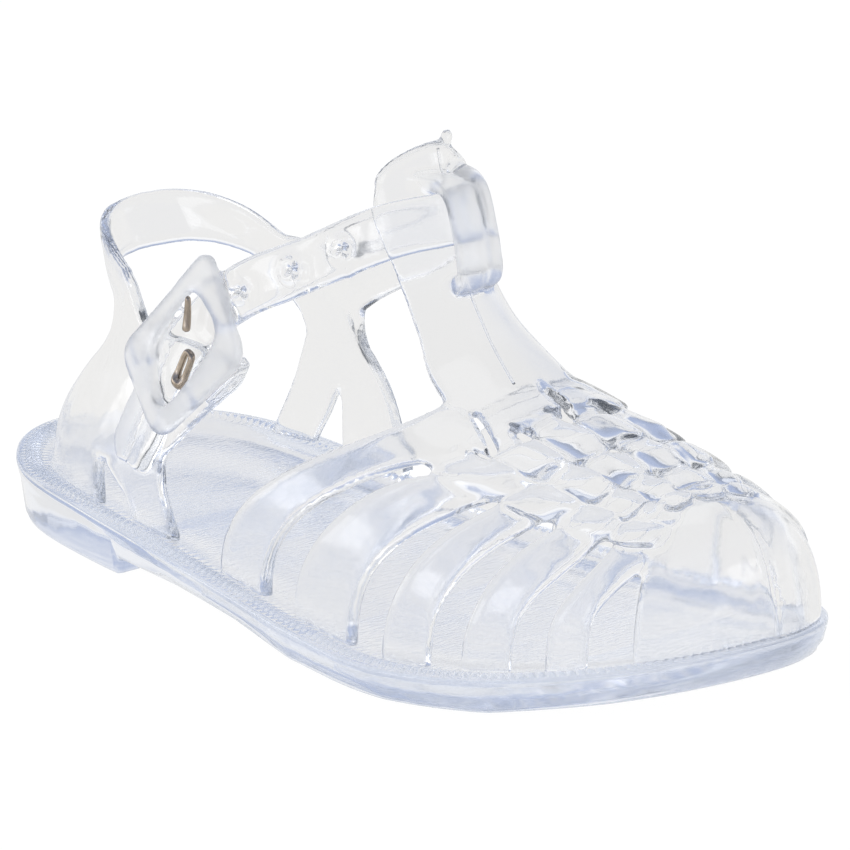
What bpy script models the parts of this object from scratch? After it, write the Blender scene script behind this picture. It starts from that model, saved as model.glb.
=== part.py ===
"""Clear moulded jelly beach sandal, right shoe: sole, one-piece upper and metal buckle.

Sizes are in millimetres in a shoe frame (x from the heel to the toe, -y lateral, z up from the
ground). The last step moves the pieces to the middle of the box and scales them to metres.
"""

import math

import bpy
import numpy as np

MM = 0.001
NAME = "beach_sandal"

# Sole outline, a row per station along the shoe
LENGTH = 165.0
STATION, LATERAL, MEDIAL, RIM_TOP = range(4)
SOLE = np.array([
    (0.0, 0.0, 0.0, 10.2),
    (6.0, 14.5, 15.5, 10.1),
    (20.0, 24.2, 24.6, 9.8),
    (40.0, 28.6, 26.2, 9.4),
    (60.0, 30.6, 26.0, 8.0),
    (80.0, 32.8, 27.0, 6.6),
    (100.0, 35.9, 30.4, 5.8),
    (118.0, 37.4, 33.2, 5.5),
    (135.0, 33.4, 33.4, 6.5),
    (150.0, 23.4, 29.5, 8.4),
    (160.0, 11.0, 21.5, 10.2),
    (165.0, -8.0, 8.0, 11.2),
])
# Underside: station and height above the ground, with the heel breast as a short step
UNDER = np.array([
    (48.0, 0.0),
    (48.6, 2.7),
    (65.0, 2.6),
    (82.0, 1.6),
    (98.0, 0.0),
    (122.0, 0.0),
    (140.0, 1.0),
    (155.0, 3.5),
    (165.0, 5.6),
])
GAP = 0.3
WELT_THICK = 2.4
WELT_WIDE = 8.4
FEATHER = 4.6
FEATHER_TOE = 2.4
WALL = 2.0
ROOT = 1.3

# Front of the upper: the ridge over the foot, and where each foot station arrives on it
RIDGE_X, RIDGE_Z, RIDGE_Y = range(3)
RIDGE = np.array([
    (70.0, 43.0, 0.0),
    (100.0, 43.0, 0.0),
    (113.0, 42.4, 0.0),
    (122.0, 40.0, 0.0),
    (134.0, 37.0, 0.8),
    (143.0, 34.0, 2.0),
    (150.0, 31.6, 3.2),
])
FAN = np.array([
    (73.0, 111.0),
    (86.0, 123.5),
    (94.0, 129.0),
    (111.0, 134.0),
    (119.0, 138.0),
    (129.0, 142.0),
    (134.4, 145.0),
    (143.0, 147.0),
    (148.0, 148.0),
    (154.0, 149.0),
    (157.0, 149.4),
    (165.0, 149.4),
])
SQUARE = 2.3
LEAN_TOP = 0.8
STRAPS = ((73.2, 85.9), (94.2, 111.5), (118.8, 128.9), (134.4, 142.6), (147.0, 152.3))
CAP_FROM = 157.0
SLOT_ROW = (9, 9, 7, 6, 6)
ROWS = 16
BAR_ROW = 12

# Instep bar, a row per level: centre line and edge
BAR_CX, BAR_CZ, BAR_LATERAL, BAR_MEDIAL, BAR_EX, BAR_EZ = range(6)
BAR = np.array([
    (109.2, 46.0, 12.9, 11.6, 107.4, 43.6),
    (106.0, 50.2, 11.4, 9.2, 103.2, 48.4),
    (102.8, 55.0, 10.6, 8.6, 99.1, 53.4),
    (100.4, 60.0, 10.5, 9.0, 95.7, 58.3),
    (98.8, 65.0, 10.7, 9.6, 93.1, 62.2),
    (97.2, 70.5, 10.8, 10.1, 91.2, 65.8),
    (95.6, 76.8, 10.4, 10.2, 90.5, 69.0),
])
# Keeper loop over the bar: height and how far its outer face stands off the bar
KEEPER = np.array([
    (71.9, -0.9),
    (71.8, 1.8),
    (71.0, 4.0),
    (69.0, 5.3),
    (65.5, 5.6),
    (61.5, 5.4),
    (58.2, 4.5),
    (55.8, 2.4),
    (54.8, -0.9),
])
KEEPER_SPAN = (-3.4, 4.8)

# Rear wall: horizontal sections are a rounded U that narrows towards the ankle
LEVEL, BACK_X, HALF_WIDE, POINTED = range(4)
REAR = np.array([
    (8.0, 4.4, 25.2, 1.0),
    (14.0, 5.2, 24.6, 1.03),
    (20.0, 8.0, 23.4, 1.08),
    (26.0, 12.6, 22.0, 1.15),
    (32.0, 17.0, 20.6, 1.25),
    (38.0, 18.4, 19.2, 1.28),
    (44.0, 17.4, 18.0, 1.28),
    (50.0, 15.2, 17.2, 1.28),
    (56.0, 13.4, 16.8, 1.28),
])
SIDE_X = 46.0
RUN = 30.0
SPREAD = 0.8
# Forked quarters, a row per level: rear edge, slit, front edge (in turns round the U)
Q_REAR, Q_SLIT_A, Q_SLIT_B, Q_FRONT = 1, 2, 3, 4
LATERAL_QUARTER = np.array([
    (9.0, 0.55, 0.914, 1.083, 1.47),
    (11.5, 0.56, 0.905, 1.02, 1.41),
    (14.0, 0.565, 0.89, 0.95, 1.36),
    (17.0, 0.56, 0.88, 0.88, 1.31),
    (20.0, 0.54, 0.90, 0.90, 1.29),
    (23.0, 0.56, 0.94, 0.94, 1.36),
    (26.0, 0.60, 1.01, 1.01, 1.45),
    (29.0, 0.65, 1.09, 1.09, 1.57),
    (32.0, 0.70, 1.17, 1.17, 1.68),
    (35.0, 0.74, 1.24, 1.24, 1.78),
    (38.0, 0.75, 1.27, 1.27, 1.84),
])
MEDIAL_QUARTER = np.array([
    (9.0, 0.71, 0.865, 0.965, 1.45),
    (12.0, 0.73, 0.89, 0.965, 1.42),
    (15.0, 0.75, 0.92, 0.97, 1.405),
    (18.0, 0.77, 0.95, 0.98, 1.395),
    (21.5, 0.79, 0.99, 0.99, 1.38),
    (25.0, 0.805, 1.02, 1.02, 1.345),
    (28.0, 0.82, 1.03, 1.03, 1.29),
    (31.0, 0.83, 1.03, 1.03, 1.225),
    (34.0, 0.81, 1.01, 1.01, 1.21),
])
# Heel band: position round the U (minus is lateral), lower and upper edge height
BAND = np.array([
    (-0.75, 38.0, 50.0),
    (-0.60, 40.2, 51.6),
    (-0.40, 40.8, 51.8),
    (-0.20, 40.4, 51.0),
    (0.0, 40.2, 51.0),
    (0.20, 40.8, 52.0),
    (0.40, 41.8, 52.6),
    (0.55, 41.6, 52.0),
    (0.68, 40.0, 50.2),
    (0.81, 34.0, 47.0),
])
LATERAL_TOP = np.array([
    (0.75, 50.0),
    (0.91, 47.4),
    (1.10, 45.4),
    (1.30, 44.6),
    (1.55, 43.4),
    (1.84, 40.0),
])
CROSS = 4

# Ankle strap, a row per section of its outer face: centre and width, from the medial quarter forward
S_X, S_Y, S_Z, S_WIDE = range(4)
STRAP = np.array([
    (57.6, 18.4, 44.2, 9.8),
    (66.5, 18.5, 48.8, 9.2),
    (76.5, 18.0, 53.8, 9.0),
    (84.4, 16.6, 58.0, 9.0),
    (90.2, 14.5, 61.0, 8.9),
    (95.0, 11.4, 63.4, 8.8),
    (98.2, 6.6, 64.9, 8.6),
    (101.2, 0.8, 65.5, 8.6),
    (99.9, -5.0, 65.2, 8.6),
    (96.9, -10.2, 64.3, 8.8),
    (92.8, -13.7, 62.4, 9.0),
    (86.6, -16.1, 59.1, 9.0),
    (79.0, -17.4, 55.2, 9.0),
    (70.0, -19.2, 50.4, 9.0),
    (62.8, -20.5, 44.8, 8.8),
    (57.4, -21.7, 38.2, 8.6),
    (53.6, -23.2, 31.0, 8.4),
    (51.0, -24.7, 24.4, 8.2),
    (49.8, -25.7, 20.2, 6.6),
    (49.3, -26.1, 18.4, 4.0),
])
STRAP_LEAN = 0.28
STRAP_STAND = 2.45
TUNNEL_TO = 73.0

# Buckle flap: diamond corners as position round the U and height, seen from the lateral side
FLAP_FRONT, FLAP_TOP, FLAP_LOW, FLAP_REAR = (1.97, 40.6), (1.56, 55.4), (1.24, 27.6), (0.96, 36.2)
FLAP_OUT = 5.4
FLAP_WALL = 1.7
FLAP_ROOT = -1.0
WINDOW_MID = (60.8, 39.0)
WINDOW_HALF = (5.0, 8.6)
WINDOW_TURN = math.radians(-6.0)

# Metal buckle, set between the strap and the flap window
FRAME_MID = (60.4, 38.6)
FRAME_HALF = (3.2, 3.8)
FRAME_BAR = 1.0
FRAME_TURN = math.radians(-18.0)
FRAME_FROM, FRAME_TO = 2.95, 3.55
PRONG_FOOT, PRONG_TIP = (59.6, 35.4), (62.0, 46.4)
PRONG_FROM, PRONG_TO = 3.9, 4.5
PRONG_HALF = 0.45


def curve(table, column, at):
    """Smooth cubic through one column of a table, by its first column."""
    rows = np.asarray(table, float)
    xs, ys = rows[:, 0], rows[:, column]
    slope = np.gradient(ys, xs)
    at = np.clip(np.asarray(at, float), xs[0], xs[-1])
    i = np.clip(np.searchsorted(xs, at) - 1, 0, len(xs) - 2)
    wide = xs[i + 1] - xs[i]
    t = (at - xs[i]) / wide
    start = (1 + 2 * t) * (1 - t) ** 2 * ys[i] + t * (1 - t) ** 2 * wide * slope[i]
    end = t * t * (3 - 2 * t) * ys[i + 1] + t * t * (t - 1) * wide * slope[i + 1]
    return start + end


def turn_of(x):
    """Outline position 0 at the heel to 1 at the toe, even round both rounded ends."""
    return np.arccos(np.clip(1 - 2 * np.asarray(x, float) / LENGTH, -1, 1)) / math.pi


OUTLINE = np.column_stack([turn_of(SOLE[:, STATION]), SOLE[:, LATERAL], SOLE[:, MEDIAL]])


def rim_top(x):
    return curve(SOLE, RIM_TOP, x)


def underside(x):
    x = np.asarray(x, float)
    return np.interp(x, UNDER[:, 0], UNDER[:, 1])


def edge(turn, side, inset=0.0):
    """(x, y) on the outline, moved inwards by inset."""
    turn = np.asarray(turn, float)

    def at(k):
        back, over = k < 0, k > 1
        k = np.where(back, -k, np.where(over, 2 - k, k))
        x = LENGTH * (1 - np.cos(math.pi * k)) / 2
        flip = np.where(back | over, -side, side)
        lateral, medial = -curve(OUTLINE, 1, k), curve(OUTLINE, 2, k)
        return np.stack([x, np.where(flip < 0, lateral, medial)], -1)

    step = 0.002
    along = at(turn + step) - at(turn - step)
    along /= np.linalg.norm(along, axis=-1, keepdims=True)
    inward = np.stack([-along[..., 1], along[..., 0]], -1) * (-side)
    return at(turn) + inset * inward


def ease(x):
    x = np.clip(x, 0.0, 1.0)
    return x * x * (3 - 2 * x)


def feather(turn, side):
    """(x, y) where the upper leaves the welt: the ledge narrows at the toe, sooner on the medial side."""
    start, end = (150.0, LENGTH) if side < 0 else (120.0, 158.0)
    station = LENGTH * (1 - np.cos(math.pi * np.asarray(turn, float))) / 2
    inset = FEATHER + (FEATHER_TOE - FEATHER) * ease((station - start) / (end - start))
    return edge(turn, side) + (edge(turn, side, 1.0) - edge(turn, side)) * np.asarray(inset)[..., None]


SAMPLES = np.linspace(0.0, 1.0, 241)
FEATHER_LINE = {side: feather(SAMPLES, side) for side in (-1, 1)}


def feather_y(x, side):
    line = FEATHER_LINE[side]
    rising = np.maximum.accumulate(line[:, 0])
    return np.interp(x, rising, line[:, 1])


def front(turn, side, up):
    """Outer face of the front of the upper: up is 0 at the welt and 1 on the ridge."""
    foot = feather(turn, side)
    station = LENGTH * (1 - math.cos(math.pi * turn)) / 2
    toe = float(ease((station - 140.0) / (CAP_FROM - 140.0)))
    angle = up * math.pi / 2
    inward = 1 - math.cos(angle) ** (2 / SQUARE)
    rise = math.sin(angle) ** (2 / SQUARE)
    lean = math.sin(min(up / LEAN_TOP, 1.0) * math.pi / 2) ** 2
    top_x = float(curve(FAN, 1, station))
    x = foot[0] + (top_x - foot[0]) * (lean * (1 - toe) + inward * toe)
    base_y = feather_y(x, side) * (1 - toe) + foot[1] * toe
    base_z = rim_top(x) * (1 - toe) + rim_top(foot[0]) * toe
    ridge_x = x * (1 - toe) + top_x * toe
    ridge_y = curve(RIDGE, RIDGE_Y, ridge_x)
    ridge_z = curve(RIDGE, RIDGE_Z, ridge_x)
    return (
        float(x),
        float(base_y + (ridge_y - base_y) * inward),
        float(base_z + (ridge_z - base_z) * rise),
    )


def bar_point(row, k):
    """Point of the instep bar: k runs from -1 at the lateral edge to 1 at the medial edge."""
    bend = k * k
    return (
        row[BAR_CX] + (row[BAR_EX] - row[BAR_CX]) * bend,
        (row[BAR_LATERAL] if k < 0 else row[BAR_MEDIAL]) * k,
        row[BAR_CZ] + (row[BAR_EZ] - row[BAR_CZ]) * bend,
    )


def bar_face(y, z):
    """x of the bar's front face at a height."""
    half = BAR[:, BAR_LATERAL] if y < 0 else BAR[:, BAR_MEDIAL]
    bend = (y / half) ** 2
    heights = BAR[:, BAR_CZ] + (BAR[:, BAR_EZ] - BAR[:, BAR_CZ]) * bend
    faces = BAR[:, BAR_CX] + (BAR[:, BAR_EX] - BAR[:, BAR_CX]) * bend
    return float(np.interp(z, heights, faces))


def rear(turn, z, out=0.0):
    """Outer face of the rear wall: turn is 0 at the back, 1 where the sides run straight, minus lateral."""
    side = -1.0 if turn < 0 else 1.0
    size = abs(turn)
    angle = min(size, 1.0) * math.pi / 2
    past = max(size - 1.0, 0.0)
    back = float(curve(REAR, BACK_X, z))
    half = float(curve(REAR, HALF_WIDE, z)) + out
    power = float(curve(REAR, POINTED, z))
    x = SIDE_X - (SIDE_X - back + out) * abs(math.cos(angle)) ** power + past * RUN
    return (x, side * (half * math.sin(angle) ** power + past * SPREAD), float(z))


def lateral_wall(x, z, out):
    """Point off the straight lateral side of the rear wall."""
    past = max((x - SIDE_X) / RUN, 0.0)
    return (x, -(float(curve(REAR, HALF_WIDE, z)) + past * SPREAD + out), z)


class Sheet:
    """Faces gathered patch by patch, with points that coincide made one."""

    def __init__(self):
        self.points = []
        self.faces = []
        self.known = {}

    def point(self, place):
        key = tuple(round(float(c), 3) for c in place)
        if key not in self.known:
            self.known[key] = len(self.points)
            self.points.append(tuple(float(c) for c in place))
        return self.known[key]

    def face(self, *places):
        corners = []
        for place in places:
            index = self.point(place)
            if index not in corners:
                corners.append(index)
        if len(corners) > 2:
            self.faces.append(corners)

    def grid(self, lines, flip=False):
        """Quads between neighbouring lines of points."""
        for low, high in zip(lines, lines[1:]):
            for i in range(len(low) - 1):
                corners = (low[i], low[i + 1], high[i + 1], high[i])
                self.face(*(corners[::-1] if flip else corners))


def centred(places):
    """Shoe frame in millimetres to the object's frame in metres."""
    return [((x - SHIFT_X) * MM, (y - SHIFT_Y) * MM, z * MM) for x, y, z in places]


def mesh_object(name, sheet, collection):
    mesh = bpy.data.meshes.new(name)
    mesh.from_pydata(centred(sheet.points), [], sheet.faces)
    mesh.validate()
    obj = bpy.data.objects.new(name, mesh)
    collection.objects.link(obj)
    return obj


def thicken(obj, thick, even=True):
    """Wall on the inner side of an open sheet."""
    wall = obj.modifiers.new("wall", "SOLIDIFY")
    wall.thickness = thick * MM
    wall.offset = -1.0
    wall.use_even_offset = even
    wall.use_quality_normals = True


def join(obj, other, operation="UNION"):
    boolean = obj.modifiers.new(other.name, "BOOLEAN")
    boolean.operation = operation
    boolean.solver = "EXACT"
    boolean.object = other


def helper(obj):
    obj.hide_render = True
    obj.display_type = "WIRE"


def stations(count):
    """Outline positions, with a pair close together at the heel breast."""
    even = np.linspace(0.0, 1.0, count)[1:-1]
    breast = turn_of(UNDER[:2, 0])
    even = even[np.min(np.abs(even[:, None] - breast[None]), axis=1) > 0.008]
    return np.sort(np.concatenate([even, breast]))


def loop_at(turns, inset, height):
    """Closed loop: heel point, lateral side, toe point, medial side back."""
    places = []
    for side, order in ((-1, turns), (1, turns[::-1])):
        end = 0.0 if side < 0 else 1.0
        for turn in (end, *order):
            x, y = edge(turn, side, inset)
            places.append((x, y, height(x, turn)))
    return places


def close_ring(places):
    return [*places, places[0]]


def cap(sheet, loop, count, flip):
    """Fills a loop with strips from its lateral to its medial side."""
    lateral = [loop[0], *loop[1:count + 1], loop[count + 1]]
    medial = [loop[0], *loop[count + 2:][::-1], loop[count + 1]]
    sheet.grid([lateral, medial], flip)


def build_sole(collection):
    turns = stations(44)
    rim = lambda drop: (lambda x, turn: float(rim_top(x)) - drop)
    ground = lambda lift: (lambda x, turn: float(underside(station_x(turn))) + lift)
    under_welt = WELT_THICK + GAP
    loops = [
        loop_at(turns, 3.0, ground(0.0)),
        loop_at(turns, 2.3, ground(0.7)),
        loop_at(turns, 1.3, rim(under_welt + 0.8)),
        loop_at(turns, 0.8, rim(under_welt)),
        loop_at(turns, WELT_WIDE + GAP, rim(under_welt)),
        loop_at(turns, WELT_WIDE + GAP + 0.1, rim(0.5)),
    ]
    sheet = Sheet()
    sheet.grid([close_ring(loop) for loop in loops])
    cap(sheet, loops[0], len(turns), True)
    cap(sheet, loops[-1], len(turns), False)
    return mesh_object("sole", sheet, collection)


def station_x(turn):
    return LENGTH * (1 - math.cos(math.pi * turn)) / 2


def build_welt(collection):
    turns = np.linspace(0.0, 1.0, 46)[1:-1]
    rim = lambda drop: (lambda x, turn: float(rim_top(x)) - drop)
    loops = [
        loop_at(turns, 0.0, rim(WELT_THICK)),
        loop_at(turns, 0.0, rim(0.4)),
        loop_at(turns, 0.4, rim(0.0)),
        loop_at(turns, WELT_WIDE, rim(0.0)),
        loop_at(turns, WELT_WIDE, rim(WELT_THICK)),
    ]
    sheet = Sheet()
    sheet.grid([close_ring(loop) for loop in [*loops, loops[0]]])
    return mesh_object("upper", sheet, collection)


def front_line(turn, side):
    """One line of the front sheet, from its root in the welt to the ridge."""
    line = [front(turn, side, row / ROWS) for row in range(ROWS + 1)]
    foot = line[0]
    return [(foot[0], foot[1], foot[2] - ROOT), *line]


def build_front(collection):
    sheet = Sheet()
    for side in (-1, 1):
        previous = None
        for number, (start, end) in enumerate(STRAPS):
            lines = [front_line(float(t), side) for t in np.linspace(turn_of(start), turn_of(end), 4)]
            if previous:
                first = SLOT_ROW[number - 1] + 1
                sheet.grid([previous[first:], lines[0][first:]], side < 0)
            sheet.grid(lines, side < 0)
            previous = lines[-1]
        cap_lines = [front_line(float(t), side) for t in np.linspace(turn_of(CAP_FROM), 1.0, 6)]
        first = SLOT_ROW[-1] + 1
        sheet.grid([previous[first:], cap_lines[0][first:]], side < 0)
        sheet.grid(cap_lines, side < 0)
    start = float(turn_of(STRAPS[0][0]))
    lateral = [front(start, -1, row / ROWS) for row in range(BAR_ROW, ROWS + 1)]
    medial = [front(start, 1, row / ROWS) for row in range(BAR_ROW, ROWS + 1)]
    across = np.linspace(-1, 1, 2 * (ROWS - BAR_ROW) + 1)
    base = [*lateral, *medial[::-1][1:]]
    sheet.grid([base, *([bar_point(row, k) for k in across] for row in BAR)])
    obj = mesh_object("front_sheet", sheet, collection)
    thicken(obj, WALL)
    return obj


def quarter(sheet, table, side):
    """Two legs with a slit between them, joined above its top."""
    lines_a, lines_b = [], []
    for row in table:
        for lines, ends in ((lines_a, (row[Q_REAR], row[Q_SLIT_A])), (lines_b, (row[Q_SLIT_B], row[Q_FRONT]))):
            turns = np.linspace(*ends, 4) * side
            lines.append([rear(turn, row[LEVEL]) for turn in turns])
    for lines in (lines_a, lines_b):
        sheet.grid(lines, side > 0)
    return [*lines_a[-1], *lines_b[-1][1:]]


def strap_clear(place):
    """Keeps a point of the strap's outer face off the instep bar and off the lateral wall."""
    x, y, z = (float(c) for c in place)
    if x > BAR[-1, BAR_EX] and BAR[0, BAR_CZ] < z < BAR[-1, BAR_CZ]:
        x = max(x, bar_face(y, z) + STRAP_STAND)
    if y < 0 and x < TUNNEL_TO:
        y = min(y, lateral_wall(x, z, STRAP_STAND)[1])
    return (x, y, z)


def strap_lines():
    """Sections of the ankle strap, lower to upper edge."""
    places = STRAP[:, :S_WIDE]
    along = np.gradient(places, axis=0)
    sections = []
    for place, tangent, row in zip(places, along, STRAP):
        tangent = tangent / np.linalg.norm(tangent)
        level = math.hypot(tangent[0], tangent[1])
        outward = np.array([-tangent[1], tangent[0], STRAP_LEAN * level])
        upward = np.cross(tangent, outward)
        upward /= np.linalg.norm(upward)
        steps = np.linspace(-0.5, 0.5, CROSS + 1) * row[S_WIDE]
        sections.append([strap_clear(place + upward * step) for step in steps])
    return sections


def build_rear(collection):
    sheet = Sheet()
    lateral = quarter(sheet, LATERAL_QUARTER, -1)
    medial = quarter(sheet, MEDIAL_QUARTER, 1)
    row = LATERAL_QUARTER[-1]
    turns = np.concatenate([np.linspace(row[Q_REAR], row[Q_SLIT_A], 4), np.linspace(row[Q_SLIT_B], row[Q_FRONT], 4)[1:]])
    tops = np.interp(turns, LATERAL_TOP[:, 0], LATERAL_TOP[:, 1])
    columns = [[rear(-turn, z) for z in np.linspace(row[LEVEL], top, CROSS + 1)] for turn, top in zip(turns, tops)]
    sheet.grid(columns, True)
    spots = np.linspace(BAND[0, 0], BAND[-1, 0], 19)
    band = []
    for spot in spots:
        low, high = float(curve(BAND, 1, spot)), float(curve(BAND, 2, spot))
        band.append([rear(spot, z) for z in np.linspace(low, high, CROSS + 1)])
    sheet.grid(band)
    row = MEDIAL_QUARTER[-1]
    turns = np.concatenate([np.linspace(row[Q_REAR], row[Q_SLIT_A], 4), np.linspace(row[Q_SLIT_B], row[Q_FRONT], 4)[1:]])
    tops = np.linspace(BAND[-1, 2], BAND[-1, 2] + 0.6, len(turns))
    columns = [[rear(turn, z) for z in np.linspace(row[LEVEL], top, CROSS + 1)] for turn, top in zip(turns, tops)]
    sheet.grid(columns)
    sheet.grid([columns[-1], *strap_lines()])
    obj = mesh_object("rear_sheet", sheet, collection)
    thicken(obj, WALL)
    return obj


def build_keeper(collection):
    sheet = Sheet()
    lines = []
    for y in np.linspace(*KEEPER_SPAN, 7):
        lines.append([(bar_face(y, z) + out, y, z) for z, out in KEEPER])
    sheet.grid(lines)
    obj = mesh_object("keeper_sheet", sheet, collection)
    thicken(obj, WALL - 0.1)
    return obj


def flap_place(along, across, out):
    """Point of the flap: along runs from the strap's way in to its way out, across from front to rear."""
    front_low = np.array(FLAP_FRONT) * (1 - along) + np.array(FLAP_LOW) * along
    rear_top = np.array(FLAP_TOP) * (1 - along) + np.array(FLAP_REAR) * along
    turn, z = front_low * (1 - across) + rear_top * across
    return rear(-float(turn), float(z), out)


def slab(name, along, across, outs, collection):
    """Closed block of the flap between two distances off the wall."""
    low = [[flap_place(a, c, outs[0]) for c in across] for a in along]
    high = [[flap_place(a, c, outs[1]) for c in across] for a in along]
    rim_low = [*low[0], *(line[-1] for line in low[1:]), *low[-1][-2::-1], *(line[0] for line in low[-2::-1])]
    rim_high = [*high[0], *(line[-1] for line in high[1:]), *high[-1][-2::-1], *(line[0] for line in high[-2::-1])]
    sheet = Sheet()
    sheet.grid(low, True)
    sheet.grid(high)
    sheet.grid([rim_low, rim_high])
    return mesh_object(name, sheet, collection)


def build_flap(collection, cutters):
    """Plate over the strap, held by a web along its front edge and one along its rear edge."""
    wide = np.linspace(0, 1, 8)
    obj = slab("flap_plate", wide, wide, (FLAP_OUT - FLAP_WALL, FLAP_OUT), collection)
    webs = (FLAP_ROOT, FLAP_OUT - FLAP_WALL / 2)
    front_web = slab("flap_web_front", np.linspace(0.16, 0.5, 5), (0.015, 0.1), webs, collection)
    rear_web = slab("flap_web_rear", np.linspace(0.4, 0.97, 6), (0.885, 0.98), webs, collection)
    window = Sheet()
    rim = []
    for k in range(24):
        angle = k * math.tau / 24
        pinch = 1 - 0.22 * abs(math.sin(angle)) ** 6
        a = WINDOW_HALF[0] * math.cos(angle) * pinch
        b = WINDOW_HALF[1] * math.sin(angle)
        x = WINDOW_MID[0] + a * math.cos(WINDOW_TURN) - b * math.sin(WINDOW_TURN)
        z = WINDOW_MID[1] + a * math.sin(WINDOW_TURN) + b * math.cos(WINDOW_TURN)
        rim.append((x, z))
    near = [(x, -36.0, z) for x, z in rim]
    far = [(x, -12.0, z) for x, z in rim]
    window.grid([close_ring(near), close_ring(far)], True)
    window.face(*near)
    window.face(*far[::-1])
    cutter = mesh_object("flap_window", window, cutters)
    helper(cutter)
    join(obj, cutter, "DIFFERENCE")
    return front_web, rear_web, obj


def build_upper(collection, helpers):
    upper = build_welt(collection)
    for piece in (build_front(helpers), build_rear(helpers), build_keeper(helpers), *build_flap(helpers, helpers)):
        helper(piece)
        join(upper, piece)
    return upper


def build_frame(collection):
    """Flat ring with rounded corners, lying along the strap."""
    def loop(half, out):
        places = []
        for k in range(20):
            angle = k * math.tau / 20
            a, b = (size * math.copysign(abs(c) ** 0.55, c) for size, c in zip(half, (math.cos(angle), math.sin(angle))))
            x = FRAME_MID[0] + a * math.cos(FRAME_TURN) - b * math.sin(FRAME_TURN)
            z = FRAME_MID[1] + a * math.sin(FRAME_TURN) + b * math.cos(FRAME_TURN)
            places.append(lateral_wall(x, z, out))
        return close_ring(places)

    inner = tuple(size - FRAME_BAR for size in FRAME_HALF)
    loops = [loop(FRAME_HALF, FRAME_FROM), loop(FRAME_HALF, FRAME_TO), loop(inner, FRAME_TO), loop(inner, FRAME_FROM)]
    sheet = Sheet()
    sheet.grid([*loops, loops[0]])
    return mesh_object("buckle_frame", sheet, collection)


def build_prong(collection):
    """Tapered pin across the frame, its tip lifted a little."""
    start, end = np.array(PRONG_FOOT), np.array(PRONG_TIP)
    along = (end - start) / np.linalg.norm(end - start)
    across = np.array([along[1], -along[0]])
    sections = []
    for k in np.linspace(0, 1, 6):
        half = PRONG_HALF * (1 - 0.45 * k)
        middle_point = start + (end - start) * k
        corners = ((-half, PRONG_FROM), (half, PRONG_FROM), (half, PRONG_TO), (-half, PRONG_TO))
        places = [lateral_wall(*(middle_point + across * a), out + 0.4 * k * k) for a, out in corners]
        sections.append(close_ring(places))
    sheet = Sheet()
    sheet.grid(sections, True)
    sheet.face(*sections[0][:-1])
    sheet.face(*sections[-1][:-1][::-1])
    return mesh_object("buckle_prong", sheet, collection)


def material(name, colour, metallic, roughness, clear):
    made = bpy.data.materials.new(name)
    made.use_nodes = True
    surface = made.node_tree.nodes["Principled BSDF"]
    surface.inputs["Base Color"].default_value = (*colour, 1.0)
    surface.inputs["Metallic"].default_value = metallic
    surface.inputs["Roughness"].default_value = roughness
    surface.inputs["Transmission Weight"].default_value = clear
    return made


def middle():
    """Middle of the outline's box, which becomes the object's origin."""
    sides = np.vstack([edge(SAMPLES, -1), edge(SAMPLES, 1)])
    return (sides.min(axis=0) + sides.max(axis=0)) / 2


SHIFT_X, SHIFT_Y = middle()


def main():
    for obj in list(bpy.data.objects):
        bpy.data.objects.remove(obj, do_unlink=True)
    collection = bpy.data.collections.new(NAME)
    helpers = bpy.data.collections.new(NAME + "_helpers")
    bpy.context.scene.collection.children.link(collection)
    bpy.context.scene.collection.children.link(helpers)
    clear = material("clear_pvc", (0.86, 0.91, 0.98), 0.0, 0.12, 1.0)
    steel = material("buckle_steel", (0.62, 0.60, 0.56), 1.0, 0.25, 0.0)
    for piece in (build_sole(collection), build_upper(collection, helpers)):
        piece.data.materials.append(clear)
    for piece in (build_frame(collection), build_prong(collection)):
        piece.data.materials.append(steel)


main()
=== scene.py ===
"""Looks of the clear moulded beach sandal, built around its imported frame.

Shapes are worked out in millimetres in a shoe frame (x from heel to toe, -y lateral, z up from the
ground) and moved to the frame's metres when a mesh is made.
"""

import math

import bmesh
import bpy
import numpy as np
from bpy.props import FloatProperty, FloatVectorProperty, IntProperty, PointerProperty
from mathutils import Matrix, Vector


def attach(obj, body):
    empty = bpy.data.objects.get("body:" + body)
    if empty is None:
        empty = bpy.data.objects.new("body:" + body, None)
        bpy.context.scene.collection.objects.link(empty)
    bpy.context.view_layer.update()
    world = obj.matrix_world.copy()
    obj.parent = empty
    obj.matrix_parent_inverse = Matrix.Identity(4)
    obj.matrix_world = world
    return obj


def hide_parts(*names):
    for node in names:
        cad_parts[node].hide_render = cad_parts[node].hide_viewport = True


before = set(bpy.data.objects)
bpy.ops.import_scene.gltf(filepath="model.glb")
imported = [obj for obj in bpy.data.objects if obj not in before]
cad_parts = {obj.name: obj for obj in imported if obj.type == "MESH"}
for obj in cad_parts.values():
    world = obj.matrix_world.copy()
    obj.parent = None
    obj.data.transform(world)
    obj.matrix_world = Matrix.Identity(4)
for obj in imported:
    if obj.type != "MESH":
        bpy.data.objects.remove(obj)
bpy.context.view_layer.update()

bl_info = {
    "name": "Clear beach sandal",
    "version": (1, 0, 0),
    "blender": (4, 5, 0),
    "location": "View3D > Sidebar > Sandal",
    "description": "Builds the clear moulded sandal around its packed frame",
    "category": "Add Mesh",
}

MM = 0.001
BODY = "root"
# How much more painted glow the matt parts give off than the clear ones
MATT_GLOW_GAIN = 4.0

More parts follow.
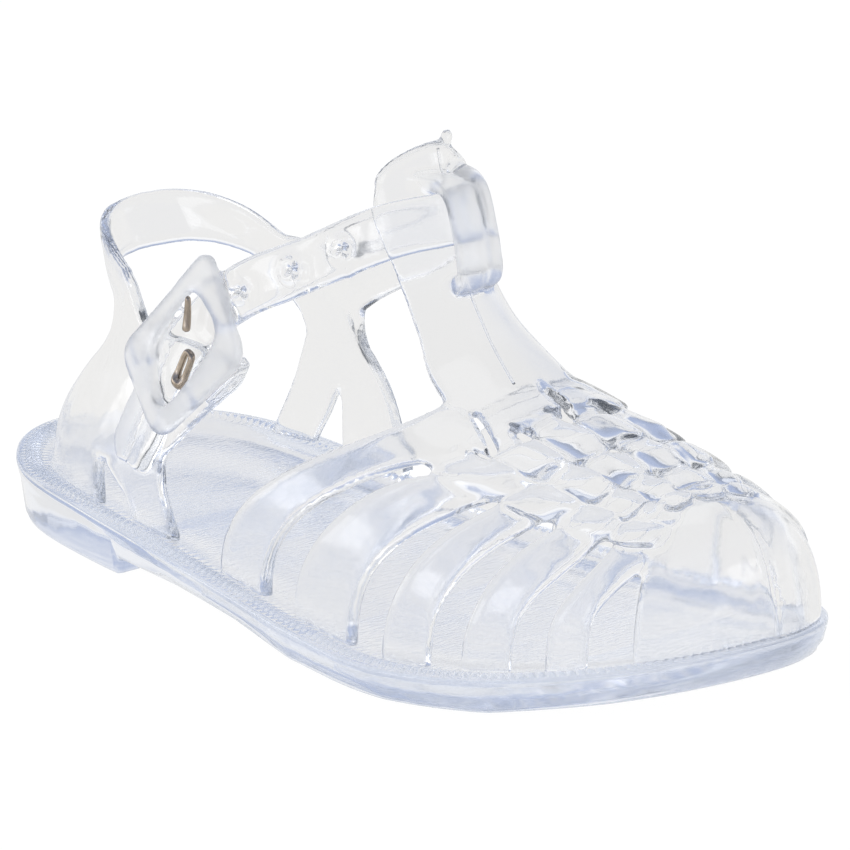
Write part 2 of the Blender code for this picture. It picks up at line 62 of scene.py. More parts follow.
# Sole outline, a row per station along the shoe: station, lateral half, medial half, rim height
LENGTH = 165.0
SOLE = np.array([
    (0.0, 0.0, 0.0, 10.2),
    (6.0, 14.5, 15.5, 10.1),
    (20.0, 24.2, 24.6, 9.8),
    (40.0, 28.6, 26.2, 9.4),
    (60.0, 30.6, 26.0, 8.0),
    (80.0, 32.8, 27.0, 6.6),
    (100.0, 35.9, 30.4, 5.8),
    (118.0, 37.4, 33.2, 5.5),
    (135.0, 33.4, 33.4, 6.5),
    (150.0, 23.4, 29.5, 8.4),
    (160.0, 11.0, 21.5, 10.2),
    (165.0, -8.0, 8.0, 11.2),
])
# Underside: station and height above the ground, with the heel breast as a short step
UNDER = np.array([
    (48.0, 0.0),
    (48.6, 2.7),
    (65.0, 2.6),
    (82.0, 1.6),
    (98.0, 0.0),
    (122.0, 0.0),
    (140.0, 1.0),
    (155.0, 3.5),
    (165.0, 5.6),
])
# Sole section from the tread round the side to the footbed: inset, share of the way from the
# underside (0) to the rim (1), height added, share of the rib pattern
SECTION = (
    (3.0, 0.0, 0.0, 0.0),
    (2.1, 0.0, 0.12, 0.0),
    (1.6, 0.0, 0.5, 0.0),
    (1.35, 0.0, 1.1, 0.0),
    (0.62, 1.0, -3.4, 0.0),
    (0.3, 1.0, -2.2, 0.0),
    (0.1, 1.0, -1.3, 0.0),
    (0.0, 1.0, -0.7, 0.0),
    (0.06, 1.0, -0.3, 0.0),
    (0.28, 1.0, -0.08, 0.0),
    (0.6, 1.0, 0.0, 0.0),
    (1.35, 1.0, 0.0, 0.0),
    (1.8, 1.0, 0.0, 0.6),
    (2.4, 1.0, 0.0, 1.0),
    (3.1, 1.0, 0.0, 1.0),
    (3.7, 1.0, 0.0, 0.7),
    (4.2, 1.0, 0.0, 0.0),
    (5.6, 1.0, -0.05, 0.0),
    (8.2, 1.0, -0.15, 0.0),
    (8.9, 1.0, -0.5, 0.0),
)
# Ledge of the welt outside the upper: its width, and what is left of it at the toe on each side
FEATHER = 4.6
FEATHER_TOE = {-1: 2.4, 1: 1.1}
# Footbed: how far inside the outline its grain starts, and the rows of cells that fill it
GRAIN_FROM = 5.0
FILL_ROWS = 9

# Vamp: the ridge over the foot, and where each foot station arrives on it
RIDGE = np.array([
    (70.0, 43.0, 0.0),
    (100.0, 43.0, 0.0),
    (113.0, 42.4, 0.0),
    (122.0, 40.0, 0.0),
    (134.0, 37.0, 0.8),
    (143.0, 34.0, 2.0),
    (150.0, 31.6, 3.2),
])
FAN = np.array([
    (73.0, 111.0),
    (86.0, 123.5),
    (94.0, 129.0),
    (111.0, 134.0),
    (119.0, 138.0),
    (129.0, 142.0),
    (134.4, 145.0),
    (143.0, 147.0),
    (148.0, 148.0),
    (154.0, 149.0),
    (157.0, 149.4),
    (165.0, 149.4),
])
# Section of the vamp: how square it is, and the share of its height above which it leans no further
SQUARE = 2.3
LEAN_TOP = 0.8
# Stations where the section starts to turn into the toe's, and where the toe cap takes over
TOE_FROM = 140.0
CAP_FROM = 157.0
# How steeply the vamp goes down into the welt, and the place where its straps end there
ROOT_DROP = 20.0
PAST_WELT = 1.03
# Cross straps: start and end at the welt, start and end in the weave, middle in the weave
STRAPS = (
    (73.2, 85.9, 73.2, 86.6, 80.0),
    (94.2, 111.5, 90.6, 113.2, 102.0),
    (118.8, 128.9, 116.0, 129.6, 122.8),
    (134.4, 142.6, 132.4, 148.6, 140.5),
    (147.0, 152.3, 151.4, 158.5, 155.0),
)
# Slits that part the first strap under the instep bar: place on the vamp at its rear and front edge
SLITS = ((-0.165, -0.285), (0.05, 0.0))
SLIT_HALF = 0.012
# Half thickness: of the straps, how much less in the weave, and of the strips
STRAP_HALF, WEAVE_LESS, STRIP_HALF = 1.12, 0.24, 0.86
# Lengthwise strips of the weave: number, place of the first, pitch, and share of the pitch they fill
STRIPS = 5
STRIPS_FROM = -0.45
STRIP_PITCH = 0.1475
STRIP_SHARE = 0.86

# Instep bar, a row per level: centre x and z, lateral and medial half, edge x and z
BAR = np.array([
    (109.2, 46.0, 12.9, 11.6, 107.4, 43.6),
    (106.0, 50.2, 11.4, 9.2, 103.2, 48.4),
    (102.8, 55.0, 10.6, 8.6, 99.1, 53.4),
    (100.4, 60.0, 10.5, 9.0, 95.7, 58.3),
    (98.8, 65.0, 10.7, 9.6, 93.1, 62.2),
    (97.2, 70.5, 10.8, 10.1, 91.2, 65.8),
    (95.6, 76.8, 10.4, 10.2, 90.5, 69.0),
])
BAR_CX, BAR_CZ, BAR_LATERAL, BAR_MEDIAL, BAR_EX, BAR_EZ = range(6)
# Root of the bar on the vamp: half width and stations; then the height of the tab's sides, and a point
# behind the bar
BAR_BASE = 0.25
BAR_STATIONS = (84.0, 80.5, 77.0)
TAB_EDGE = 69.3
BAR_CORE = (80.0, 0.0, 50.0)
# Keeper loop over the bar: height and how far its outer face stands off the bar
KEEPER = np.array([
    (71.9, -0.9),
    (71.8, 1.8),
    (71.0, 4.0),
    (69.0, 5.3),
    (65.5, 5.6),
    (61.3, 5.4),
    (57.5, 4.5),
    (54.8, 2.4),
    (53.6, -0.9),
])
# Sides of the keeper, how far its top foot flares, its half thickness, how matt it is (which also sets how
# much painted glow it gives off), and a point in it
KEEPER_SPAN = (-4.5, 5.6)
KEEPER_FOOT = 2.6
KEEPER_HALF = 1.4
KEEPER_MATT = 0.6
KEEPER_CORE = (92.0, 0.7, 63.4)
# Line left by the mould along the bar: y, how far it stands out, its place on the vamp, radius
PARTING_Y, PARTING_OUT, PARTING_FOOT, PARTING_RADIUS = -1.2, 0.05, -0.03, 0.22
# Gate mark on the bar's top: middle and radii
NUB = ((94.7, 1.8, 76.6), (0.95, 1.15, 1.2))

# Rear wall by level: back x, half width, pointedness of its U
REAR = np.array([
    (8.0, 4.4, 25.2, 1.0),
    (14.0, 5.2, 24.6, 1.03),
    (20.0, 8.0, 23.4, 1.08),
    (26.0, 12.6, 22.0, 1.15),
    (32.0, 17.0, 20.6, 1.25),
    (38.0, 18.4, 19.2, 1.26),
    (44.0, 17.4, 18.0, 1.16),
    (50.0, 15.2, 17.2, 1.1),
    (56.0, 13.4, 16.8, 1.1),
])
# Where the sides of the U start to run straight, how far each turn past 1 goes, and how it spreads
SIDE_X = 46.0
RUN = 30.0
SPREAD = 0.8
# Forked quarters by level, in turns round the U: rear edge, slit, front edge
LATERAL_QUARTER = np.array([
    (9.0, 0.55, 0.914, 1.083, 1.47),
    (11.5, 0.56, 0.905, 1.02, 1.41),
    (14.0, 0.56, 0.89, 0.95, 1.36),
    (17.0, 0.51, 0.88, 0.88, 1.31),
    (20.0, 0.475, 0.90, 0.90, 1.29),
    (23.0, 0.45, 0.94, 0.94, 1.37),
    (26.0, 0.445, 1.01, 1.01, 1.46),
    (29.0, 0.455, 1.09, 1.09, 1.56),
    (32.0, 0.50, 1.17, 1.17, 1.67),
    (35.0, 0.545, 1.24, 1.24, 1.78),
    (38.0, 0.55, 1.27, 1.27, 1.83),
])
MEDIAL_QUARTER = np.array([
    (9.0, 0.71, 0.865, 0.965, 1.45),
    (12.0, 0.73, 0.89, 0.965, 1.42),
    (15.0, 0.75, 0.92, 0.97, 1.405),
    (18.0, 0.77, 0.95, 0.98, 1.395),
    (21.5, 0.79, 0.99, 0.99, 1.38),
    (25.0, 0.805, 1.02, 1.02, 1.345),
    (28.0, 0.82, 1.03, 1.03, 1.29),
    (31.0, 0.83, 1.03, 1.03, 1.225),
    (34.0, 0.81, 1.01, 1.01, 1.21),
])
# Rolled rim of the medial quarter: radius, and how far inside the wall's face its middle lies
RIM_RADIUS, RIM_IN = 1.25, 1.1
# Rounded corner between the medial quarter and the strap, as x and height: start, corner, end, root
FILLET = np.array([(53.8, 29.4), (51.8, 37.8), (61.6, 42.6), (52.4, 41.4)])
# Heel band by place round the U (minus is lateral): lower and upper edge
BAND = np.array([
    (-0.75, 37.0, 46.4),
    (-0.60, 39.4, 48.2),
    (-0.40, 41.4, 49.6),
    (-0.20, 42.0, 50.4),
    (0.0, 42.2, 50.7),
    (0.20, 42.8, 51.6),
    (0.40, 43.6, 52.3),
    (0.55, 43.2, 51.8),
    (0.68, 41.2, 50.2),
    (0.81, 34.0, 47.0),
])
# Top of the quarters by place round the U
LATERAL_TOP = np.array([
    (0.60, 48.2),
    (0.75, 46.4),
    (0.82, 44.2),
    (0.88, 41.2),
    (0.95, 39.6),
    (1.30, 39.2),
    (1.84, 39.0),
])
MEDIAL_TOP = np.array([
    (0.81, 47.0),
    (1.21, 47.6),
])
# Ankle strap, a row per section of its outer face: centre and width, from the medial quarter forward
STRAP = np.array([
    (46.6, 18.3, 40.6, 12.6),
    (52.0, 18.4, 41.6, 11.6),
    (57.6, 18.4, 44.2, 9.8),
    (66.5, 18.5, 48.8, 9.2),
    (76.5, 18.0, 53.8, 9.0),
    (84.4, 16.6, 58.0, 9.0),
    (88.8, 14.2, 60.6, 8.9),
    (93.4, 11.3, 63.0, 8.8),
    (97.4, 6.9, 64.7, 8.6),
    (101.2, 0.8, 65.5, 8.6),
    (99.9, -5.0, 65.2, 8.6),
    (96.9, -10.2, 64.3, 8.8),
    (92.8, -13.7, 62.4, 9.0),
    (86.6, -16.1, 59.1, 9.0),
    (79.0, -17.4, 55.2, 9.0),
    (70.0, -19.2, 50.4, 9.0),
    (62.8, -20.5, 44.8, 8.8),
    (57.4, -21.7, 38.2, 8.6),
    (53.6, -23.2, 31.0, 8.4),
    (51.0, -24.7, 24.4, 8.2),
    (49.8, -25.7, 20.2, 6.6),
    (49.3, -26.1, 18.4, 4.0),
])
# How the strap leans, how far its face stands off what it passes, and where it leaves the flap
STRAP_LEAN = 0.28
STRAP_STAND = 2.45
TUNNEL_TO = 73.0
STRAP_EASE = 7.0
# First and last pin hole, and the raised ring round each: radius and half thickness
HOLE_RING, HOLE_RING_HALF = 1.5, 0.55
HOLES_FROM, HOLES_TO = (70.2, -20.0, 50.6), (89.0, -15.3, 60.4)

# Buckle flap: corners as x, height and how far the corner is rounded: front, shoulder, top, rear, low
FLAP_CORNERS = np.array([
    (75.6, 41.0, 4.2),
    (69.4, 49.4, 3.0),
    (64.0, 57.0, 3.4),
    (44.6, 36.4, 4.0),
    (58.0, 23.8, 4.6),
])
# How far the flap stands off the wall, its thickness, how much its rim droops, a point inside the shoe
FLAP_OUT = 5.4
FLAP_WALL = 2.3
FLAP_DROOP = 0.7
FLAP_CORE = (60.0, 20.0, 39.0)
# Leaf-shaped window of the flap, and the two webs behind it, as x and height
WINDOW_MID = (61.0, 40.0)
WINDOW = np.array([
    (61.5, 49.0), (66.0, 47.2), (68.5, 43.6), (65.0, 37.6),
    (58.6, 30.4), (54.8, 33.2), (53.2, 38.4), (56.4, 44.4),
])
WEBS = (
    ((46.4, 36.8), (48.2, 37.6), (50.2, 35.2), (48.6, 34.4)),
    ((71.8, 38.6), (70.0, 39.8), (62.5, 32.6), (64.0, 31.4)),
)

# Metal buckle between the strap and the flap window, as x and height, and how far off the wall
FRAME_MID = (60.4, 36.4)
FRAME_HALF = (1.4, 3.1)
FRAME_TURN = math.radians(-18.0)
FRAME_OUT = 3.25
FRAME_RADIUS, FRAME_SWELL = 0.55, 0.35
PRONG_FOOT, PRONG_TIP = (60.2, 42.2), (60.2, 48.0)
PRONG_OUT = 3.9
PRONG_RADIUS = 0.72
BUCKLE_CORE = (60.0, 20.0, 38.0)

# Camera of the photograph, in the shoe frame
CAMERA_TURN = math.radians(49.07)
CAMERA_RISE = math.radians(16.65)
CAMERA_FAR = 1000.0
CAMERA_MARK = (82.5, 0.0, 35.0)
CAMERA_AIM = (6.01, -7.26)
CAMERA_LENS = 268.5

# Stage, in metres: the floor's half width, its gap under the sole, and the point the lamps look at
FLOOR_HALF, FLOOR_GAP = 6.0, 0.0002
LIT_MARK = (0.0, 0.0, 0.03)
# Soft boxes: name, place, width, height, share of the light
SOFT_BOXES = (
    ("soft_box_rear", (-0.95, -0.62, 0.12), 0.4, 0.26, 0.6),
    ("soft_box_side", (-0.3, -1.1, 0.17), 0.44, 0.26, 1.0),
    ("soft_box_near", (0.3, -1.1, 0.2), 0.44, 0.26, 0.85),
    ("soft_box_toe", (1.0, 0.45, 0.2), 0.4, 0.24, 0.7),
    ("soft_box_top", (-0.2, 0.1, 1.1), 1.1, 1.1, 0.2),
)


def curve(table, column, at):
    """Smooth cubic through one column of a table, by its first column."""
    rows = np.asarray(table, float)
    xs, ys = rows[:, 0], rows[:, column]
    slope = np.gradient(ys, xs)
    at = np.clip(np.asarray(at, float), xs[0], xs[-1])
    i = np.clip(np.searchsorted(xs, at) - 1, 0, len(xs) - 2)
    wide = xs[i + 1] - xs[i]
    t = (at - xs[i]) / wide
    start = (1 + 2 * t) * (1 - t) ** 2 * ys[i] + t * (1 - t) ** 2 * wide * slope[i]
    end = t * t * (3 - 2 * t) * ys[i + 1] + t * t * (t - 1) * wide * slope[i + 1]
    return start + end


def spline(rows, count):
    """Rows of numbers resampled evenly in row number on a smooth curve."""
    rows = np.asarray(rows, float)
    index = np.arange(len(rows), dtype=float)
    flat = rows.reshape(len(rows), -1)
    at = np.linspace(0, len(rows) - 1, count)
    columns = [curve(np.column_stack([index, column]), 1, at) for column in flat.T]
    return np.stack(columns, -1).reshape(count, *rows.shape[1:])


def ease(x):
    x = np.clip(x, 0.0, 1.0)
    return x * x * (3 - 2 * x)


def steps(at, spots, values):
    """Eased steps from value to value."""
    at = np.asarray(at, float)
    i = np.clip(np.searchsorted(spots, at) - 1, 0, len(spots) - 2)
    spots, values = np.asarray(spots), np.asarray(values)
    share = ease((at - spots[i]) / (spots[i + 1] - spots[i]))
    return values[i] + (values[i + 1] - values[i]) * share


def turn_of(x):
    """Outline position 0 at the heel to 1 at the toe, even round both rounded ends."""
    return np.arccos(np.clip(1 - 2 * np.asarray(x, float) / LENGTH, -1, 1)) / math.pi


def station_of(turn):
    return LENGTH * (1 - np.cos(math.pi * np.asarray(turn, float))) / 2


OUTLINE = np.column_stack([turn_of(SOLE[:, 0]), SOLE[:, 1], SOLE[:, 2]])


def rim_top(x):
    return curve(SOLE, 3, x)


def underside(x):
    return np.interp(np.asarray(x, float), UNDER[:, 0], UNDER[:, 1])


def edge(turn, side, inset=0.0):
    """(x, y) on the outline, moved inwards by inset."""
    turn = np.asarray(turn, float)

    def at(k):
        back, over = k < 0, k > 1
        k = np.where(back, -k, np.where(over, 2 - k, k))
        flip = np.where(back | over, -side, side)
        lateral, medial = -curve(OUTLINE, 1, k), curve(OUTLINE, 2, k)
        return np.stack([station_of(k), np.where(flip < 0, lateral, medial)], -1)

    step = 0.002
    along = at(turn + step) - at(turn - step)
    along /= np.linalg.norm(along, axis=-1, keepdims=True)
    inward = np.stack([-along[..., 1], along[..., 0]], -1) * (-side)
    return at(turn) + np.asarray(inset, float)[..., None] * inward


def feather(turn, side):
    """(x, y) where the upper leaves the welt: the ledge narrows at the toe, sooner on the medial side."""
    start, end = (150.0, LENGTH) if side < 0 else (120.0, 158.0)
    inset = FEATHER + (FEATHER_TOE[side] - FEATHER) * ease((station_of(turn) - start) / (end - start))
    return edge(turn, side, inset)


SAMPLES = np.linspace(0.0, 1.0, 481)
FEATHER_LINE = {side: feather(SAMPLES, side) for side in (-1, 1)}
SIDES = np.vstack([edge(SAMPLES, -1), edge(SAMPLES, 1)])
SHIFT_X, SHIFT_Y = (SIDES.min(axis=0) + SIDES.max(axis=0)) / 2


def feather_y(x, side):
    line = FEATHER_LINE[side]
    return np.interp(x, np.maximum.accumulate(line[:, 0]), line[:, 1])


def vamp(turn, place):
    """Outer face of the vamp: place is -1 at the lateral welt, 0 on the ridge and 1 at the medial welt.
    Past the welt it goes straight down into it."""
    turn, place = np.broadcast_arrays(np.asarray(turn, float), np.asarray(place, float))
    lateral = place < 0
    up = np.clip(1 - np.abs(place), 0.0, 1.0)
    station = station_of(turn)
    foot = np.where(lateral[..., None], feather(turn, -1), feather(turn, 1))
    toe = ease((station - TOE_FROM) / (CAP_FROM - TOE_FROM))
    angle = up * math.pi / 2
    inward = 1 - np.cos(angle) ** (2 / SQUARE)
    rise = np.sin(angle) ** (2 / SQUARE)
    lean = np.sin(np.minimum(up / LEAN_TOP, 1.0) * math.pi / 2) ** 2
    top_x = curve(FAN, 1, station)
    x = foot[..., 0] + (top_x - foot[..., 0]) * (lean * (1 - toe) + inward * toe)
    line_y = np.where(lateral, feather_y(x, -1), feather_y(x, 1))
    base_y = line_y * (1 - toe) + foot[..., 1] * toe
    base_z = rim_top(x) * (1 - toe) + rim_top(foot[..., 0]) * toe
    ridge_x = x * (1 - toe) + top_x * toe
    y = base_y + (curve(RIDGE, 2, ridge_x) - base_y) * inward
    z = base_z + (curve(RIDGE, 1, ridge_x) - base_z) * rise
    root = np.maximum(np.abs(place) - 1, 0) * ROOT_DROP
    return np.stack([x, y, z - root], -1)


def bar_face(y, z):
    """x of the bar's front face at a height."""
    half = BAR[:, BAR_LATERAL] if y < 0 else BAR[:, BAR_MEDIAL]
    bend = (y / half) ** 2
    heights = BAR[:, BAR_CZ] + (BAR[:, BAR_EZ] - BAR[:, BAR_CZ]) * bend
    faces = BAR[:, BAR_CX] + (BAR[:, BAR_EX] - BAR[:, BAR_CX]) * bend
    return float(np.interp(z, heights, faces))


def rear(turn, z, out=0.0):
    """Outer face of the rear wall: turn is 0 at the back, 1 where the sides run straight, minus lateral."""
    turn, z = np.broadcast_arrays(np.asarray(turn, float), np.asarray(z, float))
    side = np.where(turn < 0, -1.0, 1.0)
    size = np.abs(turn)
    angle = np.minimum(size, 1.0) * math.pi / 2
    past = np.maximum(size - 1.0, 0.0)
    half = curve(REAR, 2, z) + out
    power = curve(REAR, 3, z)
    x = SIDE_X - (SIDE_X - curve(REAR, 1, z) + out) * np.abs(np.cos(angle)) ** power + past * RUN
    return np.stack([x, side * (half * np.sin(angle) ** power + past * SPREAD), z], -1)


def lateral_wall(x, z, out):
    """Point off the straight lateral side of the rear wall."""
    past = np.maximum((np.asarray(x, float) - SIDE_X) / RUN, 0.0)
    return np.stack([x, -(curve(REAR, 2, z) + past * SPREAD + out), z], -1)


def cos_spaced(count):
    """-1 to 1, closer together towards both ends, so that a rounded edge has enough points."""
    return np.sin(np.linspace(-math.pi / 2, math.pi / 2, count))


def shares(count):
    """0 to 1, spaced in the same way."""
    return (cos_spaced(count) + 1) / 2


def outward(grid, core):
    """Unit normals of a grid of points, on the side away from a core point."""
    normal = np.cross(np.gradient(grid, axis=0), np.gradient(grid, axis=1))
    size = np.linalg.norm(normal, axis=-1, keepdims=True)
    normal = normal / np.maximum(size, 1e-12)
    away = np.sum(normal * (grid - np.asarray(core, float)))
    return normal * (1.0 if away >= 0 else -1.0)


def taper(count, first, last, share=0.06):
    """Thickness along a ribbon, rounded off at its free ends."""
    at = np.linspace(0, 1, count)
    near = np.ones(count)
    if first:
        near = np.minimum(near, at / share)
    if last:
        near = np.minimum(near, (1 - at) / share)
    near = np.clip(near, 0.0, 1.0)
    return np.sqrt(1 - (1 - near) ** 2) * 0.97 + 0.03


def bands(rows, size, ring=False):
    """Faces between loops of points, each loop joined to the next."""
    faces = []
    for a in range(rows if ring else rows - 1):
        b = (a + 1) % rows
        for k in range(size):
            n = (k + 1) % size
            faces.append((a * size + k, a * size + n, b * size + n, b * size + k))
    return faces


def bent(start, corner, end, t):
    """Rounded corner, from 0 at its start to 1 at its end."""
    return (1 - t) ** 2 * start + 2 * t * (1 - t) * corner + t * t * end


def ribbon(grid, core, half=1.0, lift=-1.0, crown=(3.2, 4.5), groove=0.0, ring=False):
    """Closed bar along a grid of points with a rounded section. Half thickness may change along it, and
    lift along and across it; crown is how square the outer and inner side of the section are."""
    rows, columns = grid.shape[:2]
    across = np.abs(cos_spaced(columns))
    outer = np.clip(1 - across ** crown[0], 0, 1) ** (1 / crown[0])
    inner = np.clip(1 - across ** crown[1], 0, 1) ** (1 / crown[1])
    outer = outer * (1 - groove * np.exp(-(across / 0.16) ** 2))
    if ring:
        wide = np.concatenate([grid[-2:-1], grid, grid[1:2]])
        normal = outward(wide, core)[1:-1]
    else:
        normal = outward(grid, core)
    half = np.broadcast_to(np.asarray(half, float).reshape(-1, 1), (rows, 1))
    lift = np.asarray(lift, float)
    if lift.ndim < 2:
        lift = np.broadcast_to(lift.reshape(-1, 1), (rows, 1))
    top = grid + normal * (lift + half * outer)[..., None]
    low = grid + normal * (lift - half * inner)[..., None]
    loops = np.concatenate([top, low[:, -2:0:-1]], axis=1)
    size = loops.shape[1]
    if ring:
        return loops[:-1].reshape(-1, 3), bands(rows - 1, size, True)
    faces = bands(rows, size)
    for a, turned in ((0, False), (rows - 1, True)):
        for k in range(columns - 1):
            corners = [a * size + i for i in (k, (size - k) % size, size - k - 1, k + 1)]
            corners = list(dict.fromkeys(corners))
            faces.append(tuple(corners[::-1] if turned else corners))
    return loops.reshape(-1, 3), faces


def block(low, high):
    """Closed block between two equal grids of points."""
    rows, columns = low.shape[:2]
    count = rows * columns
    points = np.concatenate([low.reshape(-1, 3), high.reshape(-1, 3)])
    faces = []
    for a in range(rows - 1):
        for k in range(columns - 1):
            quad = (a * columns + k, a * columns + k + 1, (a + 1) * columns + k + 1, (a + 1) * columns + k)
            faces.append(quad[::-1])
            faces.append(tuple(i + count for i in quad))
    rim = [*range(columns)]
    rim += [a * columns + columns - 1 for a in range(1, rows)]
    rim += [(rows - 1) * columns + k for k in range(columns - 2, -1, -1)]
    rim += [a * columns for a in range(rows - 2, 0, -1)]
    for i, j in zip(rim, rim[1:] + rim[:1]):
        faces.append((i, j, j + count, i + count))
    return points, faces


def ball(middle, radii, count=14):
    """Closed ellipsoid."""
    points = []
    wide = 2 * count
    for a in np.linspace(0.02, math.pi - 0.02, count):
        for b in np.linspace(0, math.tau, wide, endpoint=False):
            spot = (math.sin(a) * math.cos(b), math.sin(a) * math.sin(b), math.cos(a))
            points.append(np.asarray(middle) + np.asarray(radii) * spot)
    faces = bands(count, wide)
    faces.append(tuple(range(wide - 1, -1, -1)))
    faces.append(tuple((count - 1) * wide + b for b in range(wide)))
    return np.array(points), faces


def rod(line, radius, core, sides=14, ring=False):
    """Round bar along a line of points; the radius may change along it."""
    line = np.asarray(line, float)
    rows = len(line)
    along = np.gradient(line, axis=0)
    if ring:
        along = np.roll(line, -1, axis=0) - np.roll(line, 1, axis=0)
    along /= np.linalg.norm(along, axis=1, keepdims=True)
    away = line - np.asarray(core, float)
    across = np.cross(along, away)
    across /= np.linalg.norm(across, axis=1, keepdims=True)
    upward = np.cross(across, along)
    radius = np.broadcast_to(np.asarray(radius, float), (rows,))[:, None]
    angles = np.linspace(0, math.tau, sides, endpoint=False)
    loops = np.stack([line + radius * (across * math.cos(t) + upward * math.sin(t)) for t in angles], 1)
    faces = bands(rows, sides, ring)
    if not ring:
        faces.append(tuple(range(sides - 1, -1, -1)))
        faces.append(tuple((rows - 1) * sides + k for k in range(sides)))
    return loops.reshape(-1, 3), faces


def placed(points):
    """Shoe frame in millimetres to the frame's metres."""
    return (np.asarray(points, float) - (SHIFT_X, SHIFT_Y, 0.0)) * MM


def gathered(shells):
    """Several closed shells as one list of points and one of faces."""
    points, faces, first = [], [], 0
    for shell_points, shell_faces in shells:
        points.append(np.asarray(shell_points))
        faces += [tuple(i + first for i in face) for face in shell_faces]
        first += len(shell_points)
    return np.concatenate(points), faces


def new_object(name, points, faces):
    """Mesh object at the origin, its faces turned outwards."""
    mesh = bpy.data.meshes.new(name)
    mesh.from_pydata(placed(points).tolist(), [], faces)
    mesh.validate()
    shape = bmesh.new()
    shape.from_mesh(mesh)
    bmesh.ops.recalc_face_normals(shape, faces=shape.faces)
    shape.to_mesh(mesh)
    shape.free()
    obj = bpy.data.objects.new(name, mesh)
    bpy.context.scene.collection.objects.link(obj)
    return obj


def baked(obj):
    """Turns an object's live modifiers into its plain mesh."""
    bpy.context.view_layer.update()
    depsgraph = bpy.context.evaluated_depsgraph_get()
    mesh = bpy.data.meshes.new_from_object(obj.evaluated_get(depsgraph), depsgraph=depsgraph)
    old = obj.data
    obj.modifiers.clear()
    obj.data = mesh
    mesh.name = obj.name
    bpy.data.meshes.remove(old)
    return obj


def remeshed(obj, voxel):
    """Adds a step that joins whatever overlaps into one skin of even cells."""
    remesh = obj.modifiers.new("one_body", "REMESH")
    remesh.mode = "VOXEL"
    remesh.voxel_size = voxel
    remesh.use_smooth_shade = True


def fused(name, shells, voxel, rounds, carve):
    """Overlapping shells moulded into one body, carved, and its edges softened."""
    obj = new_object(name, *gathered(shells))
    remeshed(obj, voxel)
    carve(obj)
    remeshed(obj, voxel)
    smooth = obj.modifiers.new("soft_edges", "SMOOTH")
    smooth.factor = 0.5
    smooth.iterations = rounds
    return baked(obj)


def spots_of(obj):
    """Points of an object in the shoe frame."""
    flat = np.empty(len(obj.data.vertices) * 3)
    obj.data.vertices.foreach_get("co", flat)
    return flat.reshape(-1, 3) / MM + (SHIFT_X, SHIFT_Y, 0.0)


def mark(obj, name, values):
    """Stores a number on each point."""
    layer = obj.data.attributes.new(name, "FLOAT", "POINT")
    layer.data.foreach_set("value", np.asarray(values, np.float32))


def added(obj, shells):
    """Adds closed shells to a moulded body as they are."""
    extra = new_object("extra", *gathered(shells))
    shape = bmesh.new()
    shape.from_mesh(obj.data)
    shape.from_mesh(extra.data)
    shape.to_mesh(obj.data)
    shape.free()
    bpy.data.meshes.remove(extra.data)


def shade_smooth(obj):
    obj.data.polygons.foreach_set("use_smooth", [True] * len(obj.data.polygons))
    obj.data.update()


class Wire:
    """A value socket that takes part in Python sums."""

    def __init__(self, tree, socket):
        self.tree = tree
        self.socket = socket

    def sum(self, operation, first, second):
        math_node = self.tree.nodes.new("ShaderNodeMath")
        math_node.operation = operation
        for socket, value in zip(math_node.inputs, (first, second)):
            if isinstance(value, Wire):
                self.tree.links.new(value.socket, socket)
            elif value is not None:
                socket.default_value = value
        return Wire(self.tree, math_node.outputs[0])

    def __add__(self, other):
        return self.sum("ADD", self, other)

    __radd__ = __add__

    def __sub__(self, other):
        return self.sum("SUBTRACT", self, other)

    def __mul__(self, other):
        return self.sum("MULTIPLY", self, other)

    def __pow__(self, other):
        return self.sum("POWER", self, other)

    def wave(self):
        return self.sum("SINE", self, None)

    def size(self):
        return self.sum("ABSOLUTE", self, None)


class Tree:
    """A node tree with one way of adding nodes."""

    def __init__(self, tree):
        self.tree = tree

    def node(self, kind, settings=None, inputs=None, out=0):
        """Adds a node: its settings first, then the values or links of its sockets."""
        made = self.tree.nodes.new(kind)
        for name, value in (settings or {}).items():
            setattr(made, name, value)
        for name, value in (inputs or {}).items():
            socket = made.inputs[name]
            if isinstance(value, Wire):
                self.tree.links.new(value.socket, socket)
            else:
                socket.default_value = value
        return Wire(self.tree, made.outputs[out]) if len(made.outputs) else made

    def attribute(self, name):
        return self.node("ShaderNodeAttribute", {"attribute_name": name}, out="Fac")

    def noise(self, place, scale, detail, **more):
        return self.node("ShaderNodeTexNoise", inputs={
            "Vector": place, "Scale": scale, "Detail": detail, **more,
        })

    def mix(self, share, first, second):
        """Colour between two, each of them a link or red, green and blue."""
        ends = [colour if isinstance(colour, Wire) else (*colour, 1.0) for colour in (first, second)]
        return self.node("ShaderNodeMix", {"data_type": "RGBA"}, {0: share, 6: ends[0], 7: ends[1]}, out=2)

    def eased(self, value, low, high):
        """0 up to low and 1 from high on, eased between them."""
        return self.node("ShaderNodeMapRange", {"interpolation_type": "SMOOTHSTEP"}, {
            "Value": value, "From Min": low, "From Max": high,
        })


def new_material(name):
    material = bpy.data.materials.new(name)
    material.use_nodes = True
    material.node_tree.nodes.clear()
    return material, Tree(material.node_tree)


